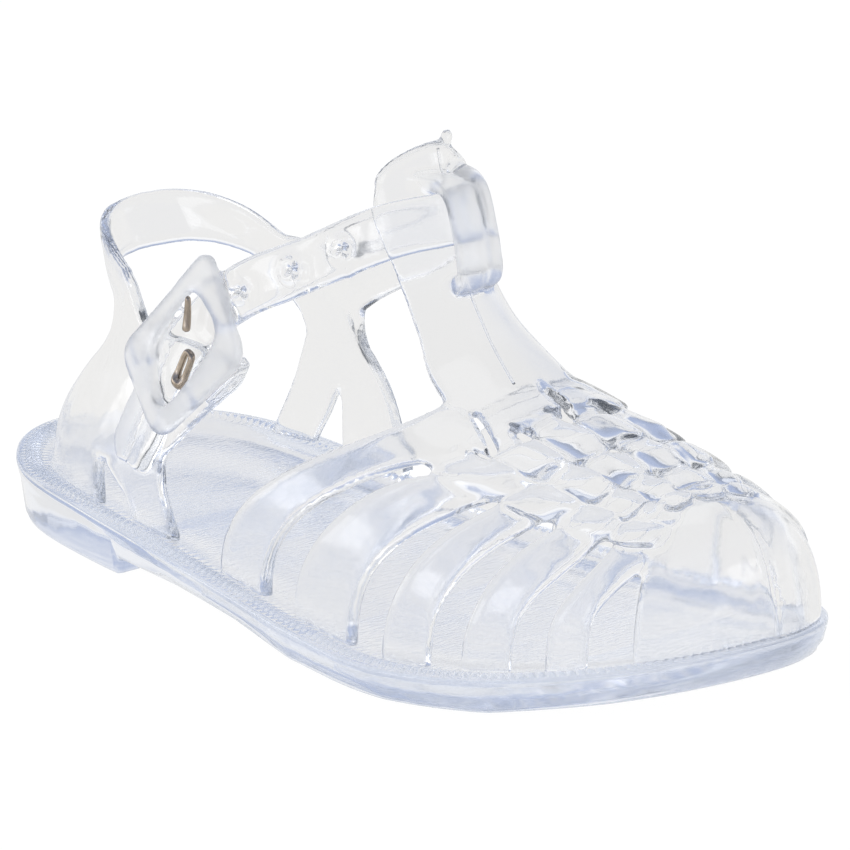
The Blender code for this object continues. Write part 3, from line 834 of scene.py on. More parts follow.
def clear_material(name, finish, grain):
    """Clear soft plastic: faint flow waves of the moulding, a little haze, the footbed's fine grain, a
    painted glow given off at each surface and stronger on the matt parts, and on the sole a grey colour that
    is painted shade.
    """
    material, tree = new_material(name)
    place = tree.node("ShaderNodeTexCoord", out="Object")
    flow = tree.noise(place, 90.0, 2.0, Roughness=0.45, Distortion=0.3)
    haze = tree.noise(place, 420.0, 3.0)
    roughness = finish.roughness + (haze - 0.5) * finish.haze + tree.attribute("frost") * finish.frost
    bump = tree.node("ShaderNodeBump", inputs={"Strength": 0.5, "Distance": 0.0005, "Height": flow})
    if grain:
        stretched = tree.node("ShaderNodeMapping", inputs={"Vector": place, "Scale": (1.0, 0.22, 1.0)})
        lines = tree.noise(stretched, 1700.0, 2.0, Distortion=1.2) * tree.attribute("footbed")
        bump = tree.node("ShaderNodeBump", inputs={
            "Strength": 1.0, "Distance": 0.0001, "Height": lines, "Normal": bump,
        })
    # Painted glow: each surface of the plastic gives off a faint bluish light of its own with no lamp behind
    # it, up to four times stronger on the matt (frosted) parts.
    painted_glow = finish.sole_painted_glow if grain else finish.painted_glow
    thin = tuple(c / MATT_GLOW_GAIN for c in finish.painted_glow_colour)
    given = tree.mix(tree.attribute("frost"), thin, finish.painted_glow_colour)
    surface = tree.node("ShaderNodeBsdfPrincipled", inputs={
        # On the sole the grey base colour is painted shade: it darkens the floor seen through the sole as if
        # it lay in the shoe's shadow.
        "Base Color": (*finish.sole, 1.0) if grain else (1.0, 1.0, 1.0, 1.0),
        "IOR": finish.ior,
        "Transmission Weight": 1.0,
        "Roughness": roughness,
        "Normal": bump,
        "Emission Color": given,
        "Emission Strength": painted_glow * MATT_GLOW_GAIN,
    })
    body = tree.node("ShaderNodeVolumeAbsorption", inputs={
        "Color": (*finish.tint, 1.0), "Density": finish.depth,
    })
    tree.node("ShaderNodeOutputMaterial", inputs={"Surface": surface, "Volume": body})
    material.cycles.emission_sampling = "NONE"
    return material


def steel_material(name, finish):
    """Nickel-bright stamped steel, lightly brushed and dulled in spots."""
    material, tree = new_material(name)
    place = tree.node("ShaderNodeTexCoord", out="Object")
    brushed = tree.node("ShaderNodeMapping", inputs={"Vector": place, "Scale": (1.0, 1.0, 0.08)})
    lines = tree.noise(brushed, 4000.0, 3.0)
    spots = tree.noise(place, 700.0, 2.0)
    colour = tree.mix(spots, finish.colour, finish.dull)
    bump = tree.node("ShaderNodeBump", inputs={"Strength": 0.25, "Distance": 0.0001, "Height": lines})
    surface = tree.node("ShaderNodeBsdfPrincipled", inputs={
        "Base Color": colour,
        "Metallic": 1.0,
        "Roughness": finish.roughness + spots * 0.12,
        "Normal": bump,
    })
    tree.node("ShaderNodeOutputMaterial", inputs={"Surface": surface})
    return material


def geometry_tree(name, sizes):
    """Empty geometry tree with a geometry input, named sizes and a material."""
    group = bpy.data.node_groups.new(name, "GeometryNodeTree")
    group.interface.new_socket("Geometry", in_out="INPUT", socket_type="NodeSocketGeometry")
    for label, kind, value in sizes:
        socket = group.interface.new_socket(label, in_out="INPUT", socket_type=kind)
        socket.default_value = value
    group.interface.new_socket("Material", in_out="INPUT", socket_type="NodeSocketMaterial")
    group.interface.new_socket("Geometry", in_out="OUTPUT", socket_type="NodeSocketGeometry")
    tree = Tree(group)
    entry = group.nodes.new("NodeGroupInput")
    wires = {socket.name: Wire(group, socket) for socket in entry.outputs if socket.name}
    return tree, wires


def close_tree(tree, geometry, material):
    whole = tree.node("GeometryNodeRealizeInstances", inputs={"Geometry": geometry})
    dressed = tree.node("GeometryNodeSetMaterial", inputs={"Geometry": whole, "Material": material})
    tree.node("NodeGroupOutput", inputs={"Geometry": dressed})
    return tree.tree


def welt_rib_tree(sizes):
    """Twisted ribs of the welt: raised by the place along the outline that the sole carries."""
    tree, wires = geometry_tree("welt_ribs", (
        ("Pitch", "NodeSocketFloat", sizes.rib_pitch),
        ("Height", "NodeSocketFloat", sizes.rib_height),
    ))
    run = tree.node("GeometryNodeInputNamedAttribute", {"data_type": "FLOAT"}, {"Name": "rib_run"})
    share = tree.node("GeometryNodeInputNamedAttribute", {"data_type": "FLOAT"}, {"Name": "rib_share"})
    turns = run.sum("DIVIDE", run * math.pi, wires["Pitch"])
    height = (turns.wave().size() ** 0.8 - 0.35) * share * wires["Height"]
    offset = tree.node("ShaderNodeCombineXYZ", inputs={"Z": height})
    raised = tree.node("GeometryNodeSetPosition", inputs={"Geometry": wires["Geometry"], "Offset": offset})
    return close_tree(tree, raised, wires["Material"])


def strap_hole_tree(sizes, normal):
    """Row of pin holes along the ankle strap, cut through it."""
    tree, wires = geometry_tree("strap_holes", (
        ("Radius", "NodeSocketFloat", sizes.hole / 2),
        ("Count", "NodeSocketInt", sizes.holes),
        ("First", "NodeSocketVector", tuple(placed(HOLES_FROM))),
        ("Last", "NodeSocketVector", tuple(placed(HOLES_TO))),
    ))
    line = tree.node("GeometryNodeMeshLine", {"mode": "END_POINTS"}, {
        "Count": wires["Count"], "Start Location": wires["First"], "Offset": wires["Last"],
    })
    pin = tree.node("GeometryNodeMeshCylinder", inputs={
        "Vertices": 24, "Radius": wires["Radius"], "Depth": 0.008,
    })
    facing = tree.node("FunctionNodeAlignRotationToVector", {"axis": "Z"}, {"Vector": normal})
    pins = tree.node("GeometryNodeInstanceOnPoints", inputs={
        "Points": line, "Instance": pin, "Rotation": facing,
    })
    cutters = tree.node("GeometryNodeRealizeInstances", inputs={"Geometry": pins})
    cut = tree.node("GeometryNodeMeshBoolean", {"operation": "DIFFERENCE", "solver": "EXACT"}, {
        "Mesh 1": wires["Geometry"], "Mesh 2": cutters,
    })
    return close_tree(tree, cut, wires["Material"])


def grow(obj, group, material):
    """Adds a geometry tree to an object's steps."""
    modifier = obj.modifiers.new(group.name, "NODES")
    modifier.node_group = group
    for socket in group.interface.items_tree:
        if socket.in_out == "INPUT" and socket.socket_type == "NodeSocketMaterial":
            modifier[socket.identifier] = material


def finished(obj, material, node):
    """Hands a piece to the frame."""
    obj.data.materials.clear()
    obj.data.materials.append(material)
    shade_smooth(obj)
    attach(obj, BODY)
    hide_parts(node)


def length(name, description, size, low=0.0):
    """Setting in metres, given in millimetres."""
    return FloatProperty(
        name=name, description=description, default=size * MM, min=low * MM, unit="LENGTH", precision=5)


def tone(name, description, value):
    """Colour setting."""
    return FloatVectorProperty(
        name=name, description=description, subtype="COLOR", size=3, default=value, min=0.0, max=1.0)


class SoleSizes(bpy.types.PropertyGroup):
    rib_pitch: length("Rib pitch", "From one rib of the welt to the next", 1.55, 0.2)
    rib_height: length("Rib height", "How far the welt's ribs stand up", 0.75)
    rib_slant: FloatProperty(
        name="Rib slant", description="Run along the outline for each millimetre inwards", default=0.45)
    points_per_rib: IntProperty(
        name="Points per rib", description="Sections of the sole in one rib", default=9, min=3)


class UpperSizes(bpy.types.PropertyGroup):
    weave_lift: length("Weave lift", "How far straps and strips rise and dip where they cross", 0.85)
    vamp_voxel: length("Vamp detail", "Cell size that the front of the upper is moulded with", 0.47, 0.2)
    heel_voxel: length("Heel detail", "Cell size that the rear of the upper is moulded with", 0.38, 0.2)
    vamp_rounds: IntProperty(
        name="Vamp softening", description="Rounds of smoothing on the front of the upper", default=5, min=0)
    heel_rounds: IntProperty(
        name="Heel softening", description="Rounds of smoothing on the rear of the upper", default=8, min=0)
    hole: length("Hole", "Diameter of the strap's pin holes", 1.4, 0.2)
    holes: IntProperty(name="Holes", description="Number of pin holes in the strap", default=3, min=2)


class ClearFinish(bpy.types.PropertyGroup):
    tint: tone("Tint", "Colour that the plastic takes where it is deep", (0.46, 0.56, 0.76))
    # Grey of the sole: painted shade that stands in for the shaded floor seen through the sole.
    sole: tone("Sole", "Colour left to light that crosses the sole", (0.91, 0.91, 0.915))
    depth: FloatProperty(
        name="Depth", description="How strongly the tint builds up with depth", default=1.8, min=0.0)
    ior: FloatProperty(name="Bend", description="Index of refraction", default=1.45, min=1.0)
    roughness: FloatProperty(name="Roughness", description="Haze of the surface", default=0.08)
    haze: FloatProperty(name="Haze spread", description="How much the haze varies", default=0.03)
    # Painted glow: light that the plastic gives off at each surface on its own, with no lamp behind it.
    painted_glow_colour: tone("Milk colour", "Light given back by the faintly milky plastic", (0.73, 0.83, 1.0))
    painted_glow: FloatProperty(
        name="Milk", description="Light given back at each surface of the upper", default=0.007)
    sole_painted_glow: FloatProperty(
        name="Sole milk", description="Light given back at each surface of the sole", default=0.03)
    frost: FloatProperty(name="Frost", description="Roughness added on the matt parts", default=0.42)


class SteelFinish(bpy.types.PropertyGroup):
    colour: tone("Bright", "Bright metal", (0.62, 0.53, 0.43))
    dull: tone("Dull", "Dulled metal", (0.20, 0.16, 0.125))
    roughness: FloatProperty(name="Roughness", description="Least roughness", default=0.16)


class StageSettings(bpy.types.PropertyGroup):
    floor: tone("Floor", "Colour of the floor", (1.0, 1.0, 1.0))
    glow: FloatProperty(
        name="Floor light", description="Light of the floor as the eye sees it", default=1.06)
    paper: tone("Paper light", "Light of the floor through the plastic", (0.85, 0.845, 0.835))
    sweep: tone("Sweep", "Light from the sheet behind the floor", (0.95, 0.955, 0.965))
    front: tone("Front", "Light from the room in front of the shoe", (0.37, 0.44, 0.64))
    ceiling: tone("Ceiling", "Light from above", (0.30, 0.34, 0.44))
    walls: tone("Walls", "Light from the room's walls", (0.41, 0.48, 0.67))
    key: FloatProperty(name="Soft box", description="Light of the soft boxes", default=2.3)


class SANDAL_OT_sole(bpy.types.Operator):
    """Unit sole with its ribbed welt, heel breast and grained footbed"""

    bl_idname = "sandal.sole"
    bl_label = "Sole"

    def execute(self, context):
        sizes = context.scene.sandal_sole
        turns, run = self.even_turns(sizes)
        rows = [self.loop(turns, *row[:3]) for row in SECTION]
        count = len(rows[0])
        points, faces = np.concatenate(rows), bands(len(rows), count)
        for first in (0, (len(rows) - 1) * count):
            points, faces = self.fill(points, faces, first, count)
        obj = new_object("sole_unit", points, faces)
        rib_run, rib_share = np.zeros(len(points)), np.zeros(len(points))
        footbed = np.zeros(len(points))
        for a, row in enumerate(SECTION):
            rib_run[a * count:(a + 1) * count] = (run + row[0] * sizes.rib_slant) * MM
            rib_share[a * count:(a + 1) * count] = row[3]
            footbed[a * count:(a + 1) * count] = float(row[0] > GRAIN_FROM and row[1] > 0)
        inside = points[:, 2] > rim_top(points[:, 0]) - 1.0
        footbed[len(rows) * count:] = inside[len(rows) * count:]
        for name, values in (("rib_run", rib_run), ("rib_share", rib_share), ("footbed", footbed)):
            mark(obj, name, values)
        material = clear_material("clear_sole", context.scene.sandal_clear, True)
        grow(obj, welt_rib_tree(sizes), material)
        finished(baked(obj), material, "sole")
        return {"FINISHED"}

    def even_turns(self, sizes):
        """Outline positions an even distance apart, lateral side out and medial side back."""
        fine = np.linspace(0.0, 1.0, 4001)
        pitch = sizes.rib_pitch / MM / sizes.points_per_rib
        turns, run, before = [], [], 0.0
        for side in (-1, 1):
            hops = np.linalg.norm(np.diff(edge(fine, side), axis=0), axis=1)
            along = np.concatenate([[0.0], np.cumsum(hops)])
            spots = np.linspace(0, along[-1], int(round(along[-1] / pitch)) + 1)
            here = np.interp(spots, along, fine)
            turns.append((side, (here if side < 0 else here[::-1])[:-1]))
            run.append(before + spots[:-1])
            before = along[-1]
        return turns, np.concatenate(run)

    def loop(self, turns, inset, share, added):
        places = []
        for side, spots in turns:
            line = edge(spots, side, np.full(len(spots), inset))
            ground = underside(station_of(spots))
            height = ground + (rim_top(line[:, 0]) - ground) * share + added
            places.append(np.column_stack([line, height]))
        return np.concatenate(places)

    def fill(self, points, faces, first, count):
        """Closes a loop with rows of cells from its lateral to its medial side."""
        loop = points[first:first + count]
        half = count // 2
        lateral = [first + k for k in range(half + 1)]
        medial = [first + (count - k) % count for k in range(half + 1)]
        rows = [lateral]
        extra = []
        number = len(points)
        for share in np.arange(1, FILL_ROWS) / FILL_ROWS:
            row = [lateral[0]]
            for k in range(1, half):
                extra.append(loop[lateral[k] - first] * (1 - share) + loop[medial[k] - first] * share)
                row.append(number)
                number += 1
            row.append(lateral[half])
            rows.append(row)
        rows.append(medial)
        for low, high in zip(rows, rows[1:]):
            for k in range(half):
                corners = list(dict.fromkeys((low[k], low[k + 1], high[k + 1], high[k])))
                if len(corners) > 2:
                    faces.append(tuple(corners))
        return np.concatenate([points, np.array(extra)]), faces


class SANDAL_OT_vamp(bpy.types.Operator):
    """Front of the upper: woven straps, toe cap, instep bar and keeper loop"""

    bl_idname = "sandal.vamp"
    bl_label = "Vamp and instep bar"
    core = (110.0, 0.0, 10.0)

    def execute(self, context):
        sizes = context.scene.sandal_upper
        self.lift = sizes.weave_lift / MM
        shells = [self.first_strap(), *(self.cross_strap(j) for j in range(1, len(STRAPS)))]
        shells += [self.strip(k) for k in range(STRIPS)]
        shells += [self.toe_cap(), self.bar(), self.keeper(), ball(*NUB)]
        tool = new_object("slit_cutters", *gathered([self.slit(*ends) for ends in SLITS]))
        obj = fused(
            "vamp_upper", shells, sizes.vamp_voxel, sizes.vamp_rounds, lambda body: self.cut(body, tool))
        bpy.data.meshes.remove(tool.data)
        added(obj, [self.parting()])
        self.frost(obj)
        material = clear_material("clear_vamp", context.scene.sandal_clear, False)
        finished(obj, material, "upper")
        return {"FINISHED"}

    def frost(self, obj):
        """Marks the keeper, which stands off the bar, as partly matt, which also makes its painted glow
        stronger.
        """
        x, y, z = spots_of(obj).T
        face = np.array([bar_face(b, c) for b, c in zip(y, z)])
        within = (z > KEEPER[-1, 0] - 1.0) * (z < KEEPER[0, 0] + 1.5)
        mark(obj, "frost", KEEPER_MATT * ease((x - face - 0.4) / 0.8) * within)

    def cut(self, body, tool):
        step = body.modifiers.new("slits", "BOOLEAN")
        step.operation = "DIFFERENCE"
        step.solver = "EXACT"
        step.object = tool

    def span(self, j, place):
        """Start and end station of a cross strap at each place on the vamp."""
        start, end, weave_start, weave_end, _ = STRAPS[j]
        share = ease((1 - np.abs(place) - 0.12) / 0.42)
        return start + (weave_start - start) * share, end + (weave_end - end) * share

    def over(self, k, j):
        """1 where strip k passes over cross strap j, else -1."""
        return 1 if (k + j) % 2 else -1

    def strap_half(self, place):
        """Half thickness of a cross strap: thinner in the weave."""
        return STRAP_HALF - WEAVE_LESS * ease((0.62 - np.abs(place)) / 0.2)

    def cross_strap(self, j):
        path = np.linspace(-PAST_WELT, PAST_WELT, 170)
        across = cos_spaced(17)
        start, end = self.span(j, path[:, None])
        station = start + (end - start) * (across[None] + 1) / 2
        grid = vamp(turn_of(station), path[:, None])
        middles = [STRIPS_FROM + STRIP_PITCH * (k + 0.43) for k in range(STRIPS)]
        spots = [middles[0] - STRIP_PITCH, *middles, middles[-1] + STRIP_PITCH]
        values = [0.15, *(-self.lift * self.over(k, j) for k in range(STRIPS)), 0.15]
        lift = steps(path, spots, values) - 1.0
        return ribbon(grid, self.core, self.strap_half(path), lift)

    def first_strap(self):
        """The strap that the instep bar grows out of: its front edge stands over the weave."""
        path = np.linspace(-PAST_WELT, PAST_WELT, 200)[:, None]
        across = cos_spaced(19)[None]
        first, last = self.span(0, path)
        first = first + 5.8 * ease((BAR_BASE - np.abs(path)) / 0.07)
        grid = vamp(turn_of(first + (last - first) * (across + 1) / 2), path)
        lift = -1.0 + 0.55 * ease((0.5 - np.abs(path)) / 0.25) * ease((across + 1) / 2)
        return ribbon(grid, self.core, self.strap_half(path[:, 0]), lift, crown=(8.0, 8.0))

    def slit(self, rear_place, front_place):
        """Cutter of one slit, a thin wall across the first strap that narrows to its rear end."""
        share = np.linspace(0, 1, 30)[:, None]
        middle = rear_place + (front_place - rear_place) * share
        wide = SLIT_HALF * np.clip(share / 0.4, 0.2, 1.0)
        place = middle + wide * np.array([[-1.0, 1.0]])
        station = STRAPS[0][0] + 0.6 + (STRAPS[0][3] + 2.0 - STRAPS[0][0]) * share
        grid = vamp(turn_of(station + 0.0 * place), place)
        normal = outward(grid, self.core)
        return block(grid - normal * 4.0, grid + normal * 5.0)

    def strip(self, k):
        """Lengthwise strip of the weave, from under the first strap to the toe cap."""
        stations = np.array([78.0, *(row[4] for row in STRAPS[1:]), 159.0, 163.5])
        values = [-0.2, *(self.lift * self.over(k, j) for j in range(1, len(STRAPS))), -0.05, -0.05]
        turns = np.linspace(turn_of(84.5), turn_of(160.0), 170)
        lift = steps(station_of(turns), stations, values) - 1.0
        across = cos_spaced(15)
        low = STRIPS_FROM + STRIP_PITCH * k
        place = low + STRIP_PITCH * STRIP_SHARE * (across + 1) / 2
        grid = vamp(turns[:, None], place[None])
        return ribbon(grid, self.core, STRIP_HALF, lift)

    def toe_cap(self):
        round_toe = cos_spaced(61)
        up = np.linspace(-0.03, 0.965, 80)[:, None]
        foot_turn = 1 - (1 - turn_of(CAP_FROM)) * np.abs(round_toe)[None]
        place = np.where(round_toe[None] < 0, -1.0, 1.0) * (1 - up)
        grid = vamp(foot_turn, place)
        half = 1.1 - 0.2 * ease((up[:, 0] - 0.5) / 0.4)
        return ribbon(grid, self.core, half, -1.0, crown=(9.0, 9.0))

    def bar(self):
        across = cos_spaced(25)
        base = [vamp(turn_of(station), across * BAR_BASE) for station in BAR_STATIONS]
        rows = []
        bend = across * across
        for row in BAR:
            x = row[BAR_CX] + (row[BAR_EX] - row[BAR_CX]) * bend
            y = np.where(across < 0, row[BAR_LATERAL], row[BAR_MEDIAL]) * across
            z = row[BAR_CZ] + (row[BAR_EZ] - row[BAR_CZ]) * bend
            rows.append(np.stack([x, y, z], -1))
        drop = np.where(across < 0, 1 - np.sqrt(1 - bend), np.abs(across) ** 1.25)
        rows[-1][:, 2] = BAR[-1, BAR_CZ] - (BAR[-1, BAR_CZ] - TAB_EDGE) * drop
        count = 110
        grid = spline(np.array([*base, *rows]), count)
        rise = np.linspace(0, 1, count)
        half = (0.88 + 0.2 * ease(rise / 0.3)) * taper(count, False, True, 0.025)
        return ribbon(grid, BAR_CORE, half, -1.05, crown=(4.2, 4.2))

    def keeper(self):
        count = 70
        rows = spline(KEEPER, count)
        share = shares(23)
        foot = 1 - ease(np.linspace(0, 1, count) / 0.2)
        grid = []
        for (z, out), flare in zip(rows, foot):
            start = KEEPER_SPAN[0] - KEEPER_FOOT * flare
            span = start + (KEEPER_SPAN[1] - start) * share
            grid.append([(bar_face(y, z) + out, y, z) for y in span])
        grid = np.array(grid)
        return ribbon(grid, KEEPER_CORE, KEEPER_HALF, -1.35, crown=(6.0, 6.0), groove=0.35)

    def parting(self):
        """Thin raised line that the mould left along the middle of the bar."""
        line = [(row[BAR_CX] + PARTING_OUT, PARTING_Y, row[BAR_CZ]) for row in BAR]
        line = spline([vamp(turn_of(BAR_STATIONS[-1]), PARTING_FOOT), *line], 100)[:-3]
        return rod(line, PARTING_RADIUS, BAR_CORE)


class SANDAL_OT_heel(bpy.types.Operator):
    """Rear of the upper: forked quarters, heel band, ankle strap and buckle flap"""

    bl_idname = "sandal.heel"
    bl_label = "Heel, ankle strap and flap"
    core = (50.0, 0.0, 30.0)

    def execute(self, context):
        sizes = context.scene.sandal_upper
        shells = self.quarter(LATERAL_QUARTER, -1, LATERAL_TOP) + self.quarter(MEDIAL_QUARTER, 1, MEDIAL_TOP)
        strap, facing = self.strap()
        shells += [self.band(), *self.fillet(), strap, *self.flap(), *self.hole_rims(facing, sizes.holes)]
        material = clear_material("clear_heel", context.scene.sandal_clear, False)
        holes = strap_hole_tree(sizes, tuple(facing))
        obj = fused(
            "heel_upper", shells, sizes.heel_voxel, sizes.heel_rounds,
            lambda body: grow(body, holes, material))
        self.frost(obj)
        finished(obj, material, "upper")
        return {"FINISHED"}

    def frost(self, obj):
        """Marks the flap, which stands off the wall, for its matt finish and its stronger painted glow."""
        x, y, z = spots_of(obj).T
        over = self.over_wall(x, z, 0.0)[:, 1] - y
        share = ease((over - STRAP_STAND) / 1.2) * (np.abs(x - WINDOW_MID[0]) < 18.0) * (y < 0)
        mark(obj, "frost", share)

    def quarter(self, table, side, top):
        """Two legs with a slit between them, and the wall that joins them above it."""
        share = shares(19)
        shells = []
        fork = table[np.argmax(table[:, 2] >= table[:, 3] - 1e-6), 0]
        for low, high in ((1, 2), (3, 4)):
            levels = np.linspace(table[0, 0] - 1.6, fork + 1.5, 40)[:, None]
            begin, end = (curve(table, column, np.maximum(levels, table[0, 0])) for column in (low, high))
            turn = begin + (end - begin) * share[None]
            spots = rear(side * turn, np.maximum(levels, table[0, 0]))
            grid = rear(side * turn, np.maximum(levels, rim_top(spots[..., 0]) - 0.5))
            shells.append(ribbon(grid, self.core, 1.05, -1.0, crown=(3.2, 4.0)))
        share = shares(41)
        count, table_share = 90, 0.72
        rise = np.linspace(0, 1, count)[:, None]
        peak = table[-1, 0]
        first = fork - 0.5
        level = first + (peak - first) * np.minimum(rise / table_share, 1.0)
        begin, end = curve(table, 1, level), curve(table, 4, level)
        turn = begin + (end - begin) * share[None]
        tops = np.interp(turn, top[:, 0], top[:, 1])
        z = level + (tops - peak) * np.maximum((rise - table_share) / 0.28, 0.0)
        grid = rear(side * turn, z)
        half = 1.02 * taper(count, True, True, 0.03)
        shells.append(ribbon(grid, self.core, half, -1.0, crown=(5.0, 6.0)))
        return shells

    def fillet(self):
        """Rounded corner under the medial end of the strap, and the rolled rim from there to the welt."""
        inside = np.linspace(0, 1, 8)[None, :, None]
        start, corner, end, root = FILLET
        arc = bent(start, corner, end, np.linspace(0, 1, 24)[:, None])
        spot = arc[:, None] * (1 - inside) + root * inside
        turn = 1 + (spot[..., 0] - SIDE_X) / RUN
        levels = np.linspace(MEDIAL_QUARTER[0, 0], start[1], 30)
        rim = np.concatenate([
            rear(curve(MEDIAL_QUARTER, 4, levels), levels, -RIM_IN),
            rear(1 + (arc[1:, 0] - SIDE_X) / RUN, arc[1:, 1], -RIM_IN),
        ])
        patch = block(rear(turn, spot[..., 1], -1.9), rear(turn, spot[..., 1], -0.1))
        return [patch, rod(rim, RIM_RADIUS * np.linspace(1.0, 0.6, len(rim)), self.core)]

    def band(self):
        spots = np.linspace(BAND[0, 0], BAND[-1, 0] + 0.05, 130)
        share = shares(19)
        low, high = curve(BAND, 1, spots)[:, None], curve(BAND, 2, spots)[:, None]
        grid = rear(spots[:, None], low + (high - low) * share[None])
        return ribbon(grid, self.core, 1.05, -1.0)

    def clear_of(self, place):
        """Keeps a point of the strap's outer face off the instep bar and off the lateral wall."""
        x, y, z = (float(c) for c in place)
        if x > BAR[-1, BAR_EX] and BAR[0, BAR_CZ] < z < BAR[-1, BAR_CZ]:
            x = max(x, bar_face(y, z) + STRAP_STAND)
        if y < 0:
            held = ease((TUNNEL_TO + STRAP_EASE - x) / (2 * STRAP_EASE))
            y += held * min(0.0, float(lateral_wall(x, z, STRAP_STAND)[1]) - y)
        return (x, y, z)

    def strap(self):
        count = 210
        rows = spline(STRAP, count)
        along = np.gradient(rows[:, :3], axis=0)
        along /= np.linalg.norm(along, axis=1, keepdims=True)
        level = np.hypot(along[:, 0], along[:, 1])
        away = np.stack([-along[:, 1], along[:, 0], STRAP_LEAN * level], -1)
        upward = np.cross(along, away)
        upward /= np.linalg.norm(upward, axis=1, keepdims=True)
        reach = cos_spaced(17) / 2
        grid = rows[:, None, :3] + upward[:, None] * (reach[None] * rows[:, 3:4])[..., None]
        grid = np.array([[self.clear_of(place) for place in line] for line in grid])
        half = 1.05 * taper(count, False, True, 0.012)
        middle = np.linalg.norm(rows[:, :3] - (np.array(HOLES_FROM) + HOLES_TO) / 2, axis=1).argmin()
        facing = np.cross(along[middle], upward[middle])
        if facing[1] > 0:
            facing = -facing
        return ribbon(grid, (75.0, 0.0, 45.0), half, -1.0, crown=(3.6, 4.5)), facing

    def hole_rims(self, facing, count):
        """Raised ring round each pin hole."""
        first, last = np.array(HOLES_FROM), np.array(HOLES_TO)
        facing = np.asarray(facing)
        side = np.cross(facing, (0.0, 0.0, 1.0))
        side /= np.linalg.norm(side)
        upward = np.cross(side, facing)
        rims = []
        for share in np.linspace(0.0, 1.0, count):
            middle = first + (last - first) * share + facing * 0.15
            angles = np.linspace(0, math.tau, 28, endpoint=False)
            ring = [middle + HOLE_RING * (side * math.cos(t) + upward * math.sin(t)) for t in angles]
            rims.append(rod(ring, HOLE_RING_HALF, middle + facing * 40.0, 10, True))
        return rims

    def outline(self, count):
        """Flap outline with rounded corners, by angle round the window's middle."""
        fine = []
        spots, cuts = FLAP_CORNERS[:, :2], FLAP_CORNERS[:, 2]
        for before, spot, after, cut in zip(np.roll(spots, 1, 0), spots, np.roll(spots, -1, 0), cuts):
            start, end = (
                spot + (other - spot) * cut / np.linalg.norm(other - spot) for other in (before, after)
            )
            fine += [bent(start, spot, end, t) for t in np.linspace(0, 1, 12)]
        fine = np.array([*fine, fine[0]])
        fine = np.concatenate([np.linspace(a, b, 12, endpoint=False) for a, b in zip(fine, fine[1:])])
        return self.by_angle(fine, count)

    def window(self, count):
        """Edge of the leaf-shaped window at each angle."""
        return self.by_angle(spline(np.concatenate([WINDOW, WINDOW, WINDOW]), 600)[200:400], count)

    def by_angle(self, loop, count):
        """Distance of a closed line from the window's middle at even angles."""
        away = loop - WINDOW_MID
        angle = np.arctan2(away[:, 1], away[:, 0]) % math.tau
        order = np.argsort(angle)
        angles = np.linspace(0, math.tau, count, endpoint=False)
        return np.interp(angles, angle[order], np.hypot(*away.T)[order], period=math.tau)

    def flap(self):
        """Plate with a leaf-shaped window over the strap, and the two webs that hold it."""
        count = 140
        angles = np.linspace(0, math.tau, count, endpoint=False)
        outer, inner = self.outline(count), self.window(count)
        share = shares(21)
        reach = inner[:, None] + (outer - inner)[:, None] * share[None]
        x = WINDOW_MID[0] + reach * np.cos(angles)[:, None]
        z = WINDOW_MID[1] + reach * np.sin(angles)[:, None]
        grid = self.over_wall(x, z, FLAP_OUT - FLAP_DROOP * share[None] ** 2)
        grid = np.concatenate([grid, grid[:1]])
        plate = ribbon(grid, FLAP_CORE, FLAP_WALL / 2, -FLAP_WALL / 2, (6.0, 6.0), ring=True)
        return [plate, *(self.web(np.array(corners)) for corners in WEBS)]

    def over_wall(self, x, z, out):
        """Points off the lateral wall, which also follows it round towards the heel."""
        return rear(-(1 + (x - SIDE_X) / RUN), z, out)

    def web(self, corners):
        a = np.linspace(0, 1, 8)[:, None, None]
        c = np.linspace(0, 1, 4)[None, :, None]
        left, right = corners[0] * (1 - a) + corners[3] * a, corners[1] * (1 - a) + corners[2] * a
        spot = left * (1 - c) + right * c
        far = self.over_wall(spot[..., 0], spot[..., 1], -1.0)
        near = self.over_wall(spot[..., 0], spot[..., 1], FLAP_OUT - FLAP_WALL / 2)
        return block(far, near)


class SANDAL_OT_buckle(bpy.types.Operator):
    """Small metal frame and prong under the flap window"""

    bl_idname = "sandal.buckle"
    bl_label = "Metal buckle"

    def execute(self, context):
        material = steel_material("buckle_steel", context.scene.sandal_steel)
        angles = np.linspace(0, math.tau, 64, endpoint=False)
        ring = []
        for angle in angles:
            c, s = math.cos(angle), math.sin(angle)
            a = (FRAME_HALF[0] - 0.45) * math.copysign(abs(c) ** 0.55, c)
            b = (FRAME_HALF[1] - 0.45) * math.copysign(abs(s) ** 0.55, s)
            x = FRAME_MID[0] + a * math.cos(FRAME_TURN) - b * math.sin(FRAME_TURN)
            z = FRAME_MID[1] + a * math.sin(FRAME_TURN) + b * math.cos(FRAME_TURN)
            ring.append(lateral_wall(x, z, FRAME_OUT))
        thick = FRAME_RADIUS + FRAME_SWELL * ease(-np.sin(angles))
        loop = new_object("buckle_frame_metal", *rod(ring, thick, BUCKLE_CORE, ring=True))
        finished(loop, material, "buckle_frame")
        start, end = np.array(PRONG_FOOT), np.array(PRONG_TIP)
        line, radius = [], []
        for k in np.linspace(0, 1, 36):
            x, z = start + (end - start) * k
            line.append(lateral_wall(x, z, PRONG_OUT + 0.4 * k * k))
            rounded = math.sqrt(max(1 - ((k - 0.5) * 2) ** 12, 0.03))
            radius.append(PRONG_RADIUS * (1 - 0.36 * k) * rounded)
        pin = new_object("buckle_prong_metal", *rod(line, radius, BUCKLE_CORE))
        finished(pin, material, "buckle_prong")
        return {"FINISHED"}


